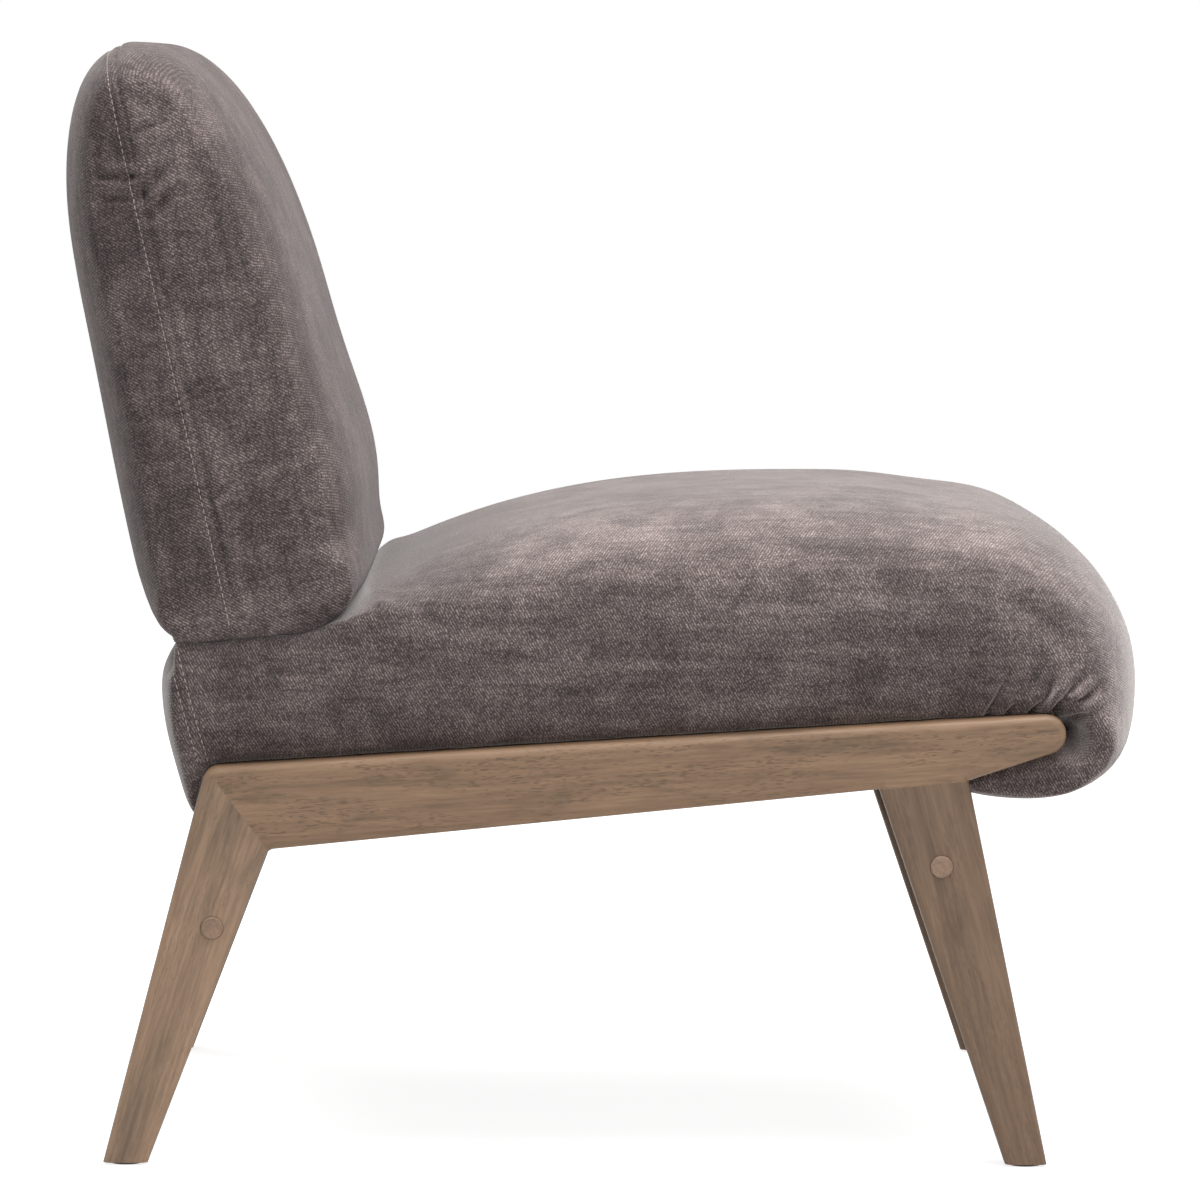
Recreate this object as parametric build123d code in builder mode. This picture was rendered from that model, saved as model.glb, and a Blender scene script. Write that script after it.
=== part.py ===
from build123d import *
import os
from math import copysign, cos, pi, radians, sin, sqrt, tan

# Armless accent chair: a padded seat and a padded back on two bent wooden side frames.
# Millimetres, +Z up. The chair faces -Y, X = 0 is its middle and Z = 0 is the floor.

# Wooden side frames
frame_width = 620.0
frame_thickness = 34.0
rail_length = 603.5
rail_mid_height = 299.3
rail_mid_depth = 52.1
rail_slope = 3.7
rail_under_slope = 5.8
nose_length = 68.1
nose_slope = 18.2
nose_radius = 13.4
nose_round_share = 0.54
rear_leg_top = 43.8
rear_leg_rake = 72.4
rear_foot_length = 31.5
front_leg_top = 62.7
front_leg_rake = 56.7
front_foot_length = 29.4
rear_corner_radius = 11.0
inner_corner_radius = 7.0
outer_edge_radius = 6.0
inner_edge_radius = 4.0

# Dowels in the rail and leg joints
dowel_radius = 4.0
dowel_length = 36.0
dowel_spacing = 20.0
dowel_fit = 0.1
dowel_end_room = 1.0

# Stretchers, their bolts, barrel nuts and cover caps
stretcher_height = 50.0
stretcher_thickness = 30.0
stretcher_edge_radius = 3.0
rear_bolt_height = 168.4
rear_bolt_shift = -7.8
front_bolt_height = 212.8
front_bolt_shift = 3.0
stretcher_dowel_drop = 15.0
bolt_radius = 4.0
bolt_fit = 0.25
bolt_length = 68.0
bolt_head_radius = 6.5
bolt_head_height = 5.0
washer_radius = 7.8
washer_thickness = 1.6
cap_radius = 8.0
cap_fit = 0.2
cap_proud = 1.8
cap_stem = 5.6
cap_edge_radius = 1.4
counterbore_depth = 12.6
barrel_nut_radius = 6.0
barrel_nut_length = 24.0
barrel_nut_inset = 38.0

# Foot glides and the nails that hold them
glide_radius = 11.0
glide_thickness = 2.0
nail_radius = 1.4
nail_length = 16.0
nail_head_radius = 3.0
nail_head_height = 0.8
nail_recess = 0.4
nail_fit = 0.05

# Seat cushion
seat_front_overhang = 61.8
seat_rear_overhang = 36.7
seat_rise = 160.0
seat_drop = 44.0
seat_side_setback = 2.0
seat_edge_roll = 56.0
seat_wadding = 26.0
side_wadding = 5.0
pad_fit = 0.3
rail_gap = 0.5
seat_seam_lean = 14.5
hem_width = 12.0

# Seat frame
board_thickness = 22.0
board_depth = 40.0
front_board_setback = 34.0
front_board_drop = 12.0
corner_block_leg = 58.0
corner_block_room = 3.0
web_end_margin = 3.0
web_width = 50.0
web_thickness = 2.0
long_web_count = 5
cross_web_count = 4
dust_cover_thickness = 1.0
dust_cover_gap = 0.5
seat_bolt_places = (0.24, 0.50, 0.78)
seat_bolt_drop = 20.0
insert_radius = 5.5
insert_length = 18.0
insert_fit = 0.05
seat_washer_radius = 11.0
seat_bolt_reach = 14.0

# Back cushion and its frame, in the back's own tilted frame
back_width = 612.0
back_height = 437.2
back_front_depth = 101.0
back_rear_depth = 71.5
back_recline = 12.65
back_setback = 27.7
back_lift = 79.6
back_edge_roll = 40.0
back_wadding = 24.0
back_side_wadding = 46.0
post_front = 20.0
post_depth = 22.0
post_width = 45.0
back_frame_width = 510.0
post_top_margin = 75.0
back_rail_height = 55.0
bottom_rail_lift = 38.0
back_web_count = 4
slot_fit = 0.5
post_screw_radius = 4.0
post_screw_fit = 0.1
post_screw_length = 38.0
post_screw_head_radius = 7.0
post_screw_head_height = 3.5
post_screw_drop = 12.0
post_screw_spacing = 17.0

# Profile knots: share of the length, share of the height or depth, heading in degrees, share of the edge roll.
# The seat counts from its rear forwards and from the rail's top line, the back from its bottom and its seam plane.
seat_knots = [
    (0.625, 1.000, 0.0, 1.0),
    (0.363, 0.943, -14.5, 0.9),
    (0.241, 0.795, -24.0, 0.55),
    (0.208, 0.722, -58.0, 0.3),
    (0.157, 0.556, -25.0, 0.22),
    (0.076, 0.520, -3.0, 0.2),
    (0.025, 0.490, -25.0, 0.25),
    (0.000, 0.350, -90.0, 0.25),
    (0.023, -0.560, -107.0, 0.2),
    (0.048, -1.000, 176.3, 0.15),
    (0.739, -1.050, 178.0, 0.1),
    (0.888, -1.370, 178.0, 0.5),
    (0.976, -0.930, 130.0, 0.75),
    (1.000, 0.110, 90.0, 0.95),
    (0.962, 0.516, 57.0, 1.0),
    (0.897, 0.746, 36.0, 1.0),
    (0.762, 0.938, 10.0, 1.0),
]
back_knots = [
    (1.000, -0.125, 12.0, 1.0),
    (0.821, 0.814, -77.35, 1.0),
    (0.473, 0.962, -88.0, 1.0),
    (0.173, 1.000, -90.0, 0.9),
    (0.048, 0.721, -139.0, 0.3),
    (0.016, 0.134, 190.0, 0.15),
    (0.009, -0.476, 168.0, 0.15),
    (0.054, -0.866, 133.0, 0.25),
    (0.153, -1.000, 103.0, 0.9),
    (0.509, -0.926, 85.0, 1.0),
    (0.856, -0.635, 67.0, 1.0),
]
underside_knots = (9, 10)
rearmost_knot = back_knots[1]
station_count = 13
flat_turn = 1e-9
flat_bow = 1e-4
seat_roll_power = 3.0
back_roll_power = 4.0

# Places worked out from the sizes above: the origin is the middle of the chair's depth
slope = radians(rail_slope)
recline = radians(back_recline)
rearmost_up = back_height * rearmost_knot[0]
rearmost_across = back_rear_depth * rearmost_knot[1]
rear_reach = rearmost_across * cos(recline) + rearmost_up * sin(recline) - back_setback
rail_rear_y = (rail_length + seat_front_overhang - rear_reach) / 2
rail_front_y = rail_rear_y - rail_length
seat_rear_y = rail_rear_y + seat_rear_overhang
seat_depth = rail_length + seat_front_overhang + seat_rear_overhang
outer_x = frame_width / 2
inner_x = outer_x - frame_thickness
frame_mid_x = outer_x - frame_thickness / 2
core_half_width = inner_x - rail_gap - side_wadding
board_outer_x = core_half_width - pad_fit
board_inner_x = board_outer_x - board_thickness
back_foot_y = rail_rear_y - back_setback
post_rear = post_front + post_depth
post_outer_x = back_frame_width / 2
post_inner_x = post_outer_x - post_width


def rail_top_z(y):
    return rail_mid_height - y * tan(slope)


def rail_under_z(y):
    return rail_mid_height - rail_mid_depth - y * tan(radians(rail_under_slope))


def seat_point(along, up):
    # A point beside the rail: along its top line and square to it
    y = along * cos(slope) + up * sin(slope)
    return Vector(y, rail_mid_height - along * sin(slope) + up * cos(slope))


def back_point(across, up):
    # A point in the back's frame: behind its seam plane and up from its bottom
    y = back_foot_y + across * cos(recline) + up * sin(recline)
    return Vector(y, rail_top_z(back_foot_y) + back_lift - across * sin(recline) + up * cos(recline))


def post_point(across, up):
    # The point of a line parallel to the back's seam plane that lies this far above the rail's top line
    start = back_point(across, 0)
    start_up = start.X * sin(slope) + (start.Y - rail_mid_height) * cos(slope)
    return back_point(across, (up - start_up) / cos(recline - slope))


seat_plane = Plane(origin=(0, 0, rail_mid_height), x_dir=(1, 0, 0), z_dir=(0, sin(slope), cos(slope)))


def back_plane(across):
    place = back_point(across, 0)
    return Plane(origin=(0, place.X, place.Y), x_dir=(1, 0, 0), z_dir=(0, cos(recline), -sin(recline)))


def side_profile(points, x, radii=0):
    # A flat outline in the side view, at one X
    with BuildSketch(Plane.YZ.offset(x)) as profile:
        with BuildLine():
            FilletPolyline(*points, radius=radii, close=True)
        make_face()
    return profile.sketch


def side_prism(points, x_from, x_to, mode=Mode.ADD):
    extrude(side_profile(points, x_from), amount=x_to - x_from, mode=mode)


def save(builder, name):
    builder.part.label = name
    export_step(builder.part, f"parts/{name}.step")


os.makedirs("parts", exist_ok=True)

# Side frame outline, from the rear corner along the top to the nose, then the legs
front_top_y = rail_front_y + nose_length
front_inner_y = front_top_y + front_leg_top
rear_inner_y = rail_rear_y - rear_leg_top
rear_foot_y = rail_rear_y + rear_leg_rake
front_foot_y = front_top_y - front_leg_rake
rear_corner = (rail_rear_y, rail_top_z(rail_rear_y))
rear_inner = (rear_inner_y, rail_under_z(rear_inner_y))
front_top = (front_top_y, rail_under_z(front_top_y))
front_inner = (front_inner_y, rail_under_z(front_inner_y))
nose_bottom_z = front_top[1] + nose_length * tan(radians(nose_slope))
nose_height = rail_top_z(rail_front_y) - nose_bottom_z
nose_round = min(nose_radius, nose_round_share * nose_height)
frame_outline = [
    rear_corner,
    (rail_front_y, rail_top_z(rail_front_y)),
    (rail_front_y, nose_bottom_z),
    front_top,
    (front_foot_y, glide_thickness),
    (front_foot_y + front_foot_length, glide_thickness),
    front_inner,
    rear_inner,
    (rear_foot_y - rear_foot_length, glide_thickness),
    (rear_foot_y, glide_thickness),
]
frame_radii = [rear_corner_radius, nose_round, nose_round, 0, 0, 0, 0, inner_corner_radius, 0, 0]


def edge_point(top, foot_y, z):
    # Y of a leg edge at a height, from its top corner to its foot
    share = (top[1] - z) / (top[1] - glide_thickness)
    return top[0] + (foot_y - top[0]) * share


def leg_middle(front_edge, front_y, rear_edge, rear_y, z):
    return (edge_point(front_edge, front_y, z) + edge_point(rear_edge, rear_y, z)) / 2


# Bolt places on the legs, and the rake that each stretcher shares with its legs
rear_sides = (rear_inner, rear_foot_y - rear_foot_length, rear_corner, rear_foot_y)
front_sides = (front_top, front_foot_y, front_inner, front_foot_y + front_foot_length)
rear_bolt_y = leg_middle(*rear_sides, rear_bolt_height) + rear_bolt_shift
front_bolt_y = leg_middle(*front_sides, front_bolt_height) + front_bolt_shift
rear_rake = leg_middle(*rear_sides, glide_thickness) - leg_middle(*rear_sides, rear_inner[1])
front_rake = leg_middle(*front_sides, glide_thickness) - leg_middle(*front_sides, front_inner[1])
rear_up = Vector(0, -rear_rake, rear_inner[1] - glide_thickness).normalized()
front_up = Vector(0, -front_rake, front_inner[1] - glide_thickness).normalized()
rear_bolt = Vector(0, rear_bolt_y, rear_bolt_height)
front_bolt = Vector(0, front_bolt_y, front_bolt_height)


def side_plane(side, place, x, up=Vector(0, 0, 1)):
    # A plane that faces away from the chair's middle, with its second axis along a leg
    origin = (side * x, place.Y, place.Z)
    return Plane(origin=origin, x_dir=up.cross(Vector(side, 0, 0)), z_dir=(side, 0, 0))


# Joint planes: the mitre between rail and rear leg, and the face where the front leg meets the rail
mitre_along = Vector(0, rear_corner[0] - rear_inner[0], rear_corner[1] - rear_inner[1]).normalized()
mitre_out = mitre_along.cross(Vector(1, 0, 0))
mitre_middle = Vector(0, (rear_corner[0] + rear_inner[0]) / 2, (rear_corner[1] + rear_inner[1]) / 2)
leg_out = Vector(0, -sin(radians(rail_under_slope)), -cos(radians(rail_under_slope)))
leg_along = leg_out.cross(Vector(1, 0, 0))
leg_joint = Vector(0, (front_top[0] + front_inner[0]) / 2, (front_top[1] + front_inner[1]) / 2)
mitre_plane = Plane(origin=mitre_middle, x_dir=(1, 0, 0), z_dir=mitre_out)
leg_plane = Plane(origin=leg_joint, x_dir=(1, 0, 0), z_dir=leg_out)


def dowel_planes(side, middle, along, out):
    offsets = (-dowel_spacing / 2, dowel_spacing / 2)
    centre = Vector(side * frame_mid_x, middle.Y, middle.Z)
    return [Plane(origin=centre + along * d, x_dir=(1, 0, 0), z_dir=out) for d in offsets]


def rear_dowels(side):
    return dowel_planes(side, mitre_middle, mitre_along, mitre_out)


def front_dowels(side):
    return dowel_planes(side, leg_joint, leg_along, leg_out)


def cut_dowel_holes(planes):
    with Locations(*planes):
        Cylinder(dowel_radius + dowel_fit, dowel_length + 2 * dowel_end_room, mode=Mode.SUBTRACT)


def seat_bolt_planes(side, x):
    # Where the seat frame is bolted to the rails, from front to rear
    places = [rail_front_y + share * rail_length for share in seat_bolt_places]
    points = [seat_point(y / cos(slope), -seat_bolt_drop) for y in places]
    return [side_plane(side, Vector(0, p.X, p.Y), x) for p in points]


# One whole side frame before it is cut at its joints: the left one, on -X
with BuildPart() as side_blank:
    extrude(side_profile(frame_outline, -outer_x, frame_radii), amount=frame_thickness)
    outer_face = side_blank.faces().sort_by(Axis.X)[0]
    above_floor = 2 * glide_thickness
    fillet([e for e in outer_face.edges() if e.center().Z > above_floor], outer_edge_radius)
    inner_edges = side_blank.faces().sort_by(Axis.X)[-1].edges()
    fillet([e for e in inner_edges if e.center().Z > above_floor], inner_edge_radius)

with BuildPart() as front_leg:
    add(side_blank.part)
    split(bisect_by=Plane.XZ.offset(-front_inner_y), keep=Keep.TOP)
    split(bisect_by=leg_plane, keep=Keep.TOP)

with BuildPart() as side_rail:
    add(side_blank.part)
    split(bisect_by=mitre_plane, keep=Keep.BOTTOM)
    add(front_leg.part, mode=Mode.SUBTRACT)
    cut_dowel_holes(rear_dowels(-1) + front_dowels(-1))
    with Locations(*[p.rotated((0, 180, 0)) for p in seat_bolt_planes(-1, inner_x)]):
        Hole(insert_radius + insert_fit, insert_length + insert_fit)

with BuildPart() as rear_leg:
    add(side_blank.part)
    split(bisect_by=mitre_plane, keep=Keep.TOP)


def finish_leg(leg, dowels, bolt, up, foot_middle_y):
    # Dowel holes, bolt hole with its counterbore and nail hole for the glide
    with BuildPart() as finished:
        add(leg.part)
        cut_dowel_holes(dowels)
        with Locations(side_plane(-1, bolt, outer_x)):
            CounterBoreHole(bolt_radius + bolt_fit, cap_radius + cap_fit, counterbore_depth)
        cut_dowel_holes([side_plane(-1, bolt - up * stretcher_dowel_drop, inner_x)])
        with Locations((-frame_mid_x, foot_middle_y, glide_thickness)):
            Cylinder(nail_radius + nail_fit, 2 * nail_length, mode=Mode.SUBTRACT)
    return finished


rear_foot_middle = rear_foot_y - rear_foot_length / 2
front_foot_middle = front_foot_y + front_foot_length / 2
front_leg_left = finish_leg(front_leg, front_dowels(-1), front_bolt, front_up, front_foot_middle)
rear_leg_left = finish_leg(rear_leg, rear_dowels(-1), rear_bolt, rear_up, rear_foot_middle)
save(side_rail, "side_rail_left")
save(front_leg_left, "front_leg_left")
save(rear_leg_left, "rear_leg_left")

for left_piece, name in ((side_rail, "side_rail"), (front_leg_left, "front_leg"), (rear_leg_left, "rear_leg")):
    with BuildPart() as right_piece:
        mirror(left_piece.part, about=Plane.YZ)
    save(right_piece, f"{name}_right")

leg_joint_planes = [p for side in (-1, 1) for p in rear_dowels(side) + front_dowels(side)]
with BuildPart() as leg_dowels:
    with Locations(*leg_joint_planes):
        Cylinder(dowel_radius, dowel_length)
save(leg_dowels, "leg_dowels")

# Stretchers between the legs' inner faces
stretcher_places = ((rear_bolt, rear_up), (front_bolt, front_up))


def bolt_planes(x):
    return [side_plane(side, bolt, x, up) for side in (-1, 1) for bolt, up in stretcher_places]


def stretcher(bolt, up):
    across = up.cross(Vector(1, 0, 0))
    with BuildPart() as board:
        with BuildSketch(Plane(origin=(-inner_x, bolt.Y, bolt.Z), x_dir=across, z_dir=(1, 0, 0))):
            RectangleRounded(stretcher_thickness, stretcher_height, stretcher_edge_radius)
        extrude(amount=2 * inner_x)
        for side in (-1, 1):
            with Locations(side_plane(side, bolt, inner_x, up)):
                Hole(bolt_radius + bolt_fit, bolt_length)
            with Locations(side_plane(side, bolt - up * stretcher_dowel_drop, inner_x, up)):
                Hole(dowel_radius + dowel_fit, dowel_length / 2 + dowel_end_room)
            nut_middle = (side * (inner_x - barrel_nut_inset), bolt.Y, bolt.Z)
            with Locations(Plane(origin=nut_middle, x_dir=(1, 0, 0), z_dir=across)):
                Cylinder(barrel_nut_radius + dowel_fit, 2 * stretcher_thickness, mode=Mode.SUBTRACT)
    return board


save(stretcher(rear_bolt, rear_up), "rear_stretcher")
save(stretcher(front_bolt, front_up), "front_stretcher")

with BuildPart() as stretcher_dowels:
    for side in (-1, 1):
        for bolt, up in stretcher_places:
            with Locations(side_plane(side, bolt - up * stretcher_dowel_drop, inner_x, up)):
                Cylinder(dowel_radius, dowel_length)
save(stretcher_dowels, "stretcher_dowels")

# Bolts lie under the cover caps: washer, head, shank into the barrel nut
head_seat = -counterbore_depth + washer_thickness
from_top = (Align.CENTER, Align.CENTER, Align.MAX)
from_base = (Align.CENTER, Align.CENTER, Align.MIN)

with BuildPart() as stretcher_bolts:
    with Locations(*bolt_planes(outer_x)):
        with Locations((0, 0, head_seat)):
            Cylinder(bolt_head_radius, bolt_head_height, align=from_base)
            Cylinder(bolt_radius, bolt_length, align=from_top)
save(stretcher_bolts, "stretcher_bolts")

with BuildPart() as bolt_washers:
    with Locations(*bolt_planes(outer_x)):
        with Locations((0, 0, -counterbore_depth)):
            Cylinder(washer_radius, washer_thickness, align=from_base)
            Cylinder(bolt_radius + bolt_fit, 3 * washer_thickness, mode=Mode.SUBTRACT)
save(bolt_washers, "bolt_washers")

with BuildPart() as barrel_nuts:
    for side in (-1, 1):
        for bolt, up in stretcher_places:
            nut_middle = (side * (inner_x - barrel_nut_inset), bolt.Y, bolt.Z)
            with Locations(Plane(origin=nut_middle, x_dir=(1, 0, 0), z_dir=up.cross(Vector(1, 0, 0)))):
                Cylinder(barrel_nut_radius, barrel_nut_length)
                Cylinder(bolt_radius + bolt_fit, 3 * barrel_nut_radius, rotation=(0, 90, 0), mode=Mode.SUBTRACT)
save(barrel_nuts, "barrel_nuts")

with BuildPart() as bolt_cover_caps:
    with Locations(*bolt_planes(outer_x)):
        with Locations((0, 0, -cap_stem)):
            Cylinder(cap_radius, cap_stem + cap_proud, align=from_base)
    rims = [e for e in bolt_cover_caps.edges() if abs(e.center().X) > outer_x + cap_proud / 2]
    fillet([e for e in rims if e.geom_type == GeomType.CIRCLE], cap_edge_radius)
save(bolt_cover_caps, "bolt_cover_caps")

# Glides under the feet and their nails
foot_places = [(side * frame_mid_x, y) for side in (-1, 1) for y in (rear_foot_middle, front_foot_middle)]

with BuildPart() as foot_glides:
    with BuildSketch():
        with Locations(*foot_places):
            Circle(glide_radius)
    extrude(amount=glide_thickness)
    with Locations(*[Plane(origin=(x, y, 0), z_dir=(0, 0, -1)) for x, y in foot_places]):
        CounterBoreHole(nail_radius + nail_fit, nail_head_radius + nail_fit, nail_recess + nail_head_height)
save(foot_glides, "foot_glides")

with BuildPart() as glide_nails:
    with Locations(*[(x, y, nail_recess) for x, y in foot_places]):
        Cylinder(nail_head_radius, nail_head_height, align=from_base)
        Cylinder(nail_radius, nail_length, align=from_base)
save(glide_nails, "glide_nails")

# Soft forms: lofts across the chair through closed profiles of tangent arcs
def seat_place(knot):
    share, rise, heading, roll = knot
    y = seat_rear_y - share * seat_depth
    z = rail_top_z(y) + rise * (seat_rise if rise > 0 else seat_drop)
    return Vector(y, z), heading, roll


def back_place(knot):
    up, across, heading, roll = knot
    depth = back_rear_depth if across > 0 else back_front_depth
    return back_point(across * depth, up * back_height), heading - back_recline, roll


def biarc_middle(start, start_way, end, end_way):
    # Where two arcs meet that leave one knot and reach the next along their headings
    chord = end - start
    turn = 2 * (1 - start_way.dot(end_way))
    reach = chord.dot(start_way + end_way)
    square = chord.dot(chord)
    straight = turn < flat_turn
    arm = square / (2 * reach) if straight else (sqrt(reach * reach + turn * square) - reach) / turn
    near = start + start_way * arm
    far = end - end_way * arm
    return (near + far) * 0.5, (far - near).normalized()


def tangent_span(start, way, end):
    chord = end - start
    if abs(way.cross(chord).Z) < flat_bow * chord.length:
        Line(start, end)
    else:
        TangentArc(start, end, tangent=way)


def soft_section(places, x, inset):
    points = []
    ways = []
    for place, heading, roll in places:
        way = Vector(cos(radians(heading)), sin(radians(heading)))
        inward = Vector(way.Y, -way.X)
        points.append(place + inward * inset * roll)
        ways.append(way)
    with BuildSketch(Plane.YZ.offset(x)) as section:
        with BuildLine():
            for i in range(len(points)):
                j = (i + 1) % len(points)
                middle, way = biarc_middle(points[i], ways[i], points[j], ways[j])
                tangent_span(points[i], ways[i], middle)
                tangent_span(middle, way, points[j])
        make_face()
    return section.sketch


def soft_form(places, half_width, roll, power):
    # Stations along a superellipse round the cushion's side edges
    sections = []
    for k in range(station_count):
        turn = pi * k / (station_count - 1)
        x = -half_width * copysign(abs(cos(turn)) ** (2 / power), cos(turn))
        inset = roll * (1 - abs(sin(turn)) ** (2 / power))
        sections.append(soft_section(places, x, inset))
    with BuildPart() as form:
        loft(sections, ruled=True)
    return form.part


seat_places = [seat_place(knot) for knot in seat_knots]
back_places = [back_place(knot) for knot in back_knots]
seat_half_width = outer_x - seat_side_setback


def rail_slots(gap):
    # The room that both side frames take out of the seat cushion
    with BuildPart() as slots:
        with BuildSketch(Plane.YZ.offset(inner_x - gap)):
            with BuildLine():
                FilletPolyline(*frame_outline, radius=frame_radii, close=True)
            make_face()
            offset(amount=gap)
        extrude(amount=2 * frame_thickness)
        mirror(about=Plane.YZ)
    return slots.part


def core_outline(places, depth, skipped=()):
    # The foam's outline: the profile's knots moved inwards by the wadding, joined by straight lines
    points = []
    for i, (place, heading, roll) in enumerate(places):
        if i not in skipped:
            points.append(place + Vector(sin(radians(heading)), -cos(radians(heading))) * depth)
    return points


def core_prism(points, half_width, mode=Mode.ADD):
    side_prism(points, -half_width, half_width, mode)


# Seat frame: boards between the rails, the rear one leaning like the posts behind it
front_board_front = rail_front_y + front_board_setback
front_board_rear = front_board_front + board_thickness
rear_board_front = post_front - board_thickness
web_top = web_thickness
far_down = -2 * board_depth

with BuildPart() as seat_front_board:
    low = -board_depth - front_board_drop
    side_prism(
        [
            seat_point(front_board_front, low),
            seat_point(front_board_rear, low),
            seat_point(front_board_rear, -web_thickness),
            seat_point(front_board_front, -web_thickness),
        ],
        -board_outer_x,
        board_outer_x,
    )
save(seat_front_board, "seat_front_board")


def post_screw_planes(across):
    # Screws through each post into the rear board, facing rearwards
    planes = []
    for side in (-1, 1):
        for drop in (post_screw_drop, post_screw_drop + post_screw_spacing):
            p = post_point(across, -drop)
            origin = (side * (post_inner_x + post_outer_x) / 2, p.X, p.Y)
            planes.append(Plane(origin=origin, x_dir=(1, 0, 0), z_dir=back_plane(0).z_dir))
    return planes


with BuildPart() as seat_rear_board:
    side_prism(
        [
            post_point(rear_board_front, -board_depth),
            post_point(post_front, -board_depth),
            post_point(post_front, -web_thickness),
            post_point(rear_board_front, -web_thickness),
        ],
        -board_outer_x,
        board_outer_x,
    )
    with Locations(*post_screw_planes(post_rear)):
        Hole(post_screw_radius + post_screw_fit, post_screw_length + post_screw_fit)
save(seat_rear_board, "seat_rear_board")

for side, name in ((-1, "seat_side_board_left"), (1, "seat_side_board_right")):
    with BuildPart() as seat_side_board:
        side_prism(
            [
                seat_point(front_board_rear, -board_depth),
                post_point(rear_board_front, -board_depth),
                post_point(rear_board_front, 0),
                seat_point(front_board_rear, 0),
            ],
            side * board_inner_x,
            side * board_outer_x,
        )
        with Locations(*seat_bolt_planes(side, board_outer_x)):
            Hole(bolt_radius + bolt_fit, 2 * board_thickness)
    save(seat_side_board, name)

rear_board_corner = post_point(rear_board_front, 0)
rear_board_reach = seat_plane.to_local_coords(Vector(0, rear_board_corner.X, rear_board_corner.Y)).Y
block_height = board_depth - 2 * corner_block_room
with BuildPart() as seat_corner_blocks:
    for side in (-1, 1):
        with BuildSketch(seat_plane.offset(-board_depth + corner_block_room)):
            with BuildLine():
                Polyline(
                    (side * board_inner_x, front_board_rear),
                    (side * (board_inner_x - corner_block_leg), front_board_rear),
                    (side * board_inner_x, front_board_rear + corner_block_leg),
                    close=True,
                )
            make_face()
            with BuildLine():
                Polyline(
                    (side * board_inner_x, rear_board_reach),
                    (side * (board_inner_x - corner_block_leg), rear_board_reach),
                    (side * board_inner_x, rear_board_reach - corner_block_leg),
                    close=True,
                )
            make_face()
        extrude(amount=block_height)
    split(bisect_by=back_plane(rear_board_front), keep=Keep.BOTTOM)
save(seat_corner_blocks, "seat_corner_blocks")

with BuildPart() as seat_long_webbing:
    strap = [
        seat_point(front_board_front + web_end_margin, -web_thickness),
        post_point(post_front - web_end_margin, -web_thickness),
        post_point(post_front - web_end_margin, 0),
        seat_point(front_board_front + web_end_margin, 0),
    ]
    pitch = 2 * board_inner_x / long_web_count
    for i in range(long_web_count):
        middle = (i - (long_web_count - 1) / 2) * pitch
        side_prism(strap, middle - web_width / 2, middle + web_width / 2)
save(seat_long_webbing, "seat_long_webbing")

with BuildPart() as seat_cross_webbing:
    pitch = (rear_board_reach - front_board_rear) / cross_web_count
    reach = board_outer_x - web_end_margin
    with BuildSketch(seat_plane):
        with Locations(*[(0, front_board_rear + (i + 0.5) * pitch) for i in range(cross_web_count)]):
            Rectangle(2 * reach, web_width)
    extrude(amount=web_thickness)
save(seat_cross_webbing, "seat_cross_webbing")

dust_half_width = board_outer_x - hem_width - dust_cover_gap
with BuildPart() as seat_dust_cover:
    side_prism(
        [
            seat_point(front_board_rear, -board_depth - dust_cover_thickness),
            post_point(post_front - hem_width - dust_cover_gap, -board_depth - dust_cover_thickness),
            post_point(post_front - hem_width - dust_cover_gap, -board_depth),
            seat_point(front_board_rear, -board_depth),
        ],
        -dust_half_width,
        dust_half_width,
    )
save(seat_dust_cover, "seat_dust_cover")

# Bolts that hold the seat frame to the rails, with washers inside and threaded inserts in the rails
all_seat_bolts = seat_bolt_planes(-1, board_inner_x) + seat_bolt_planes(1, board_inner_x)
rail_faces = seat_bolt_planes(-1, inner_x) + seat_bolt_planes(1, inner_x)
seat_bolt_length = inner_x - board_inner_x + seat_bolt_reach + washer_thickness

with BuildPart() as seat_bolts:
    with Locations(*all_seat_bolts):
        with Locations((0, 0, -washer_thickness)):
            Cylinder(bolt_head_radius, bolt_head_height, align=from_top)
            Cylinder(bolt_radius, seat_bolt_length, align=from_base)
save(seat_bolts, "seat_bolts")

with BuildPart() as seat_bolt_washers:
    with Locations(*all_seat_bolts):
        Cylinder(seat_washer_radius, washer_thickness, align=from_top)
        Cylinder(bolt_radius + bolt_fit, 3 * washer_thickness, mode=Mode.SUBTRACT)
save(seat_bolt_washers, "seat_bolt_washers")

with BuildPart() as rail_inserts:
    with Locations(*rail_faces):
        Cylinder(insert_radius, insert_length, align=from_base)
        Cylinder(bolt_radius + bolt_fit, 3 * insert_length, mode=Mode.SUBTRACT)
save(rail_inserts, "rail_inserts")

# Back frame: two posts that run down into the seat, two rails between them and webbing in front
post_top = back_height - post_top_margin
top_rail_low = post_top - back_rail_height
bottom_rail_top = bottom_rail_lift + back_rail_height


def back_rect(front, rear, low, high):
    return [back_point(front, low), back_point(rear, low), back_point(rear, high), back_point(front, high)]


def post_shape(room):
    # A post's side view, grown by some room on its front, rear and top
    return [
        post_point(post_front - room, -board_depth),
        post_point(post_rear + room, -board_depth),
        back_point(post_rear + room, post_top + room),
        back_point(post_front - room, post_top + room),
    ]


def cut_post_slots():
    for side in (-1, 1):
        near = side * (post_inner_x - slot_fit)
        far = side * (post_outer_x + slot_fit)
        side_prism(post_shape(slot_fit), near, far, Mode.SUBTRACT)


rail_middles = ((bottom_rail_lift + bottom_rail_top) / 2, (top_rail_low + post_top) / 2)


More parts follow.
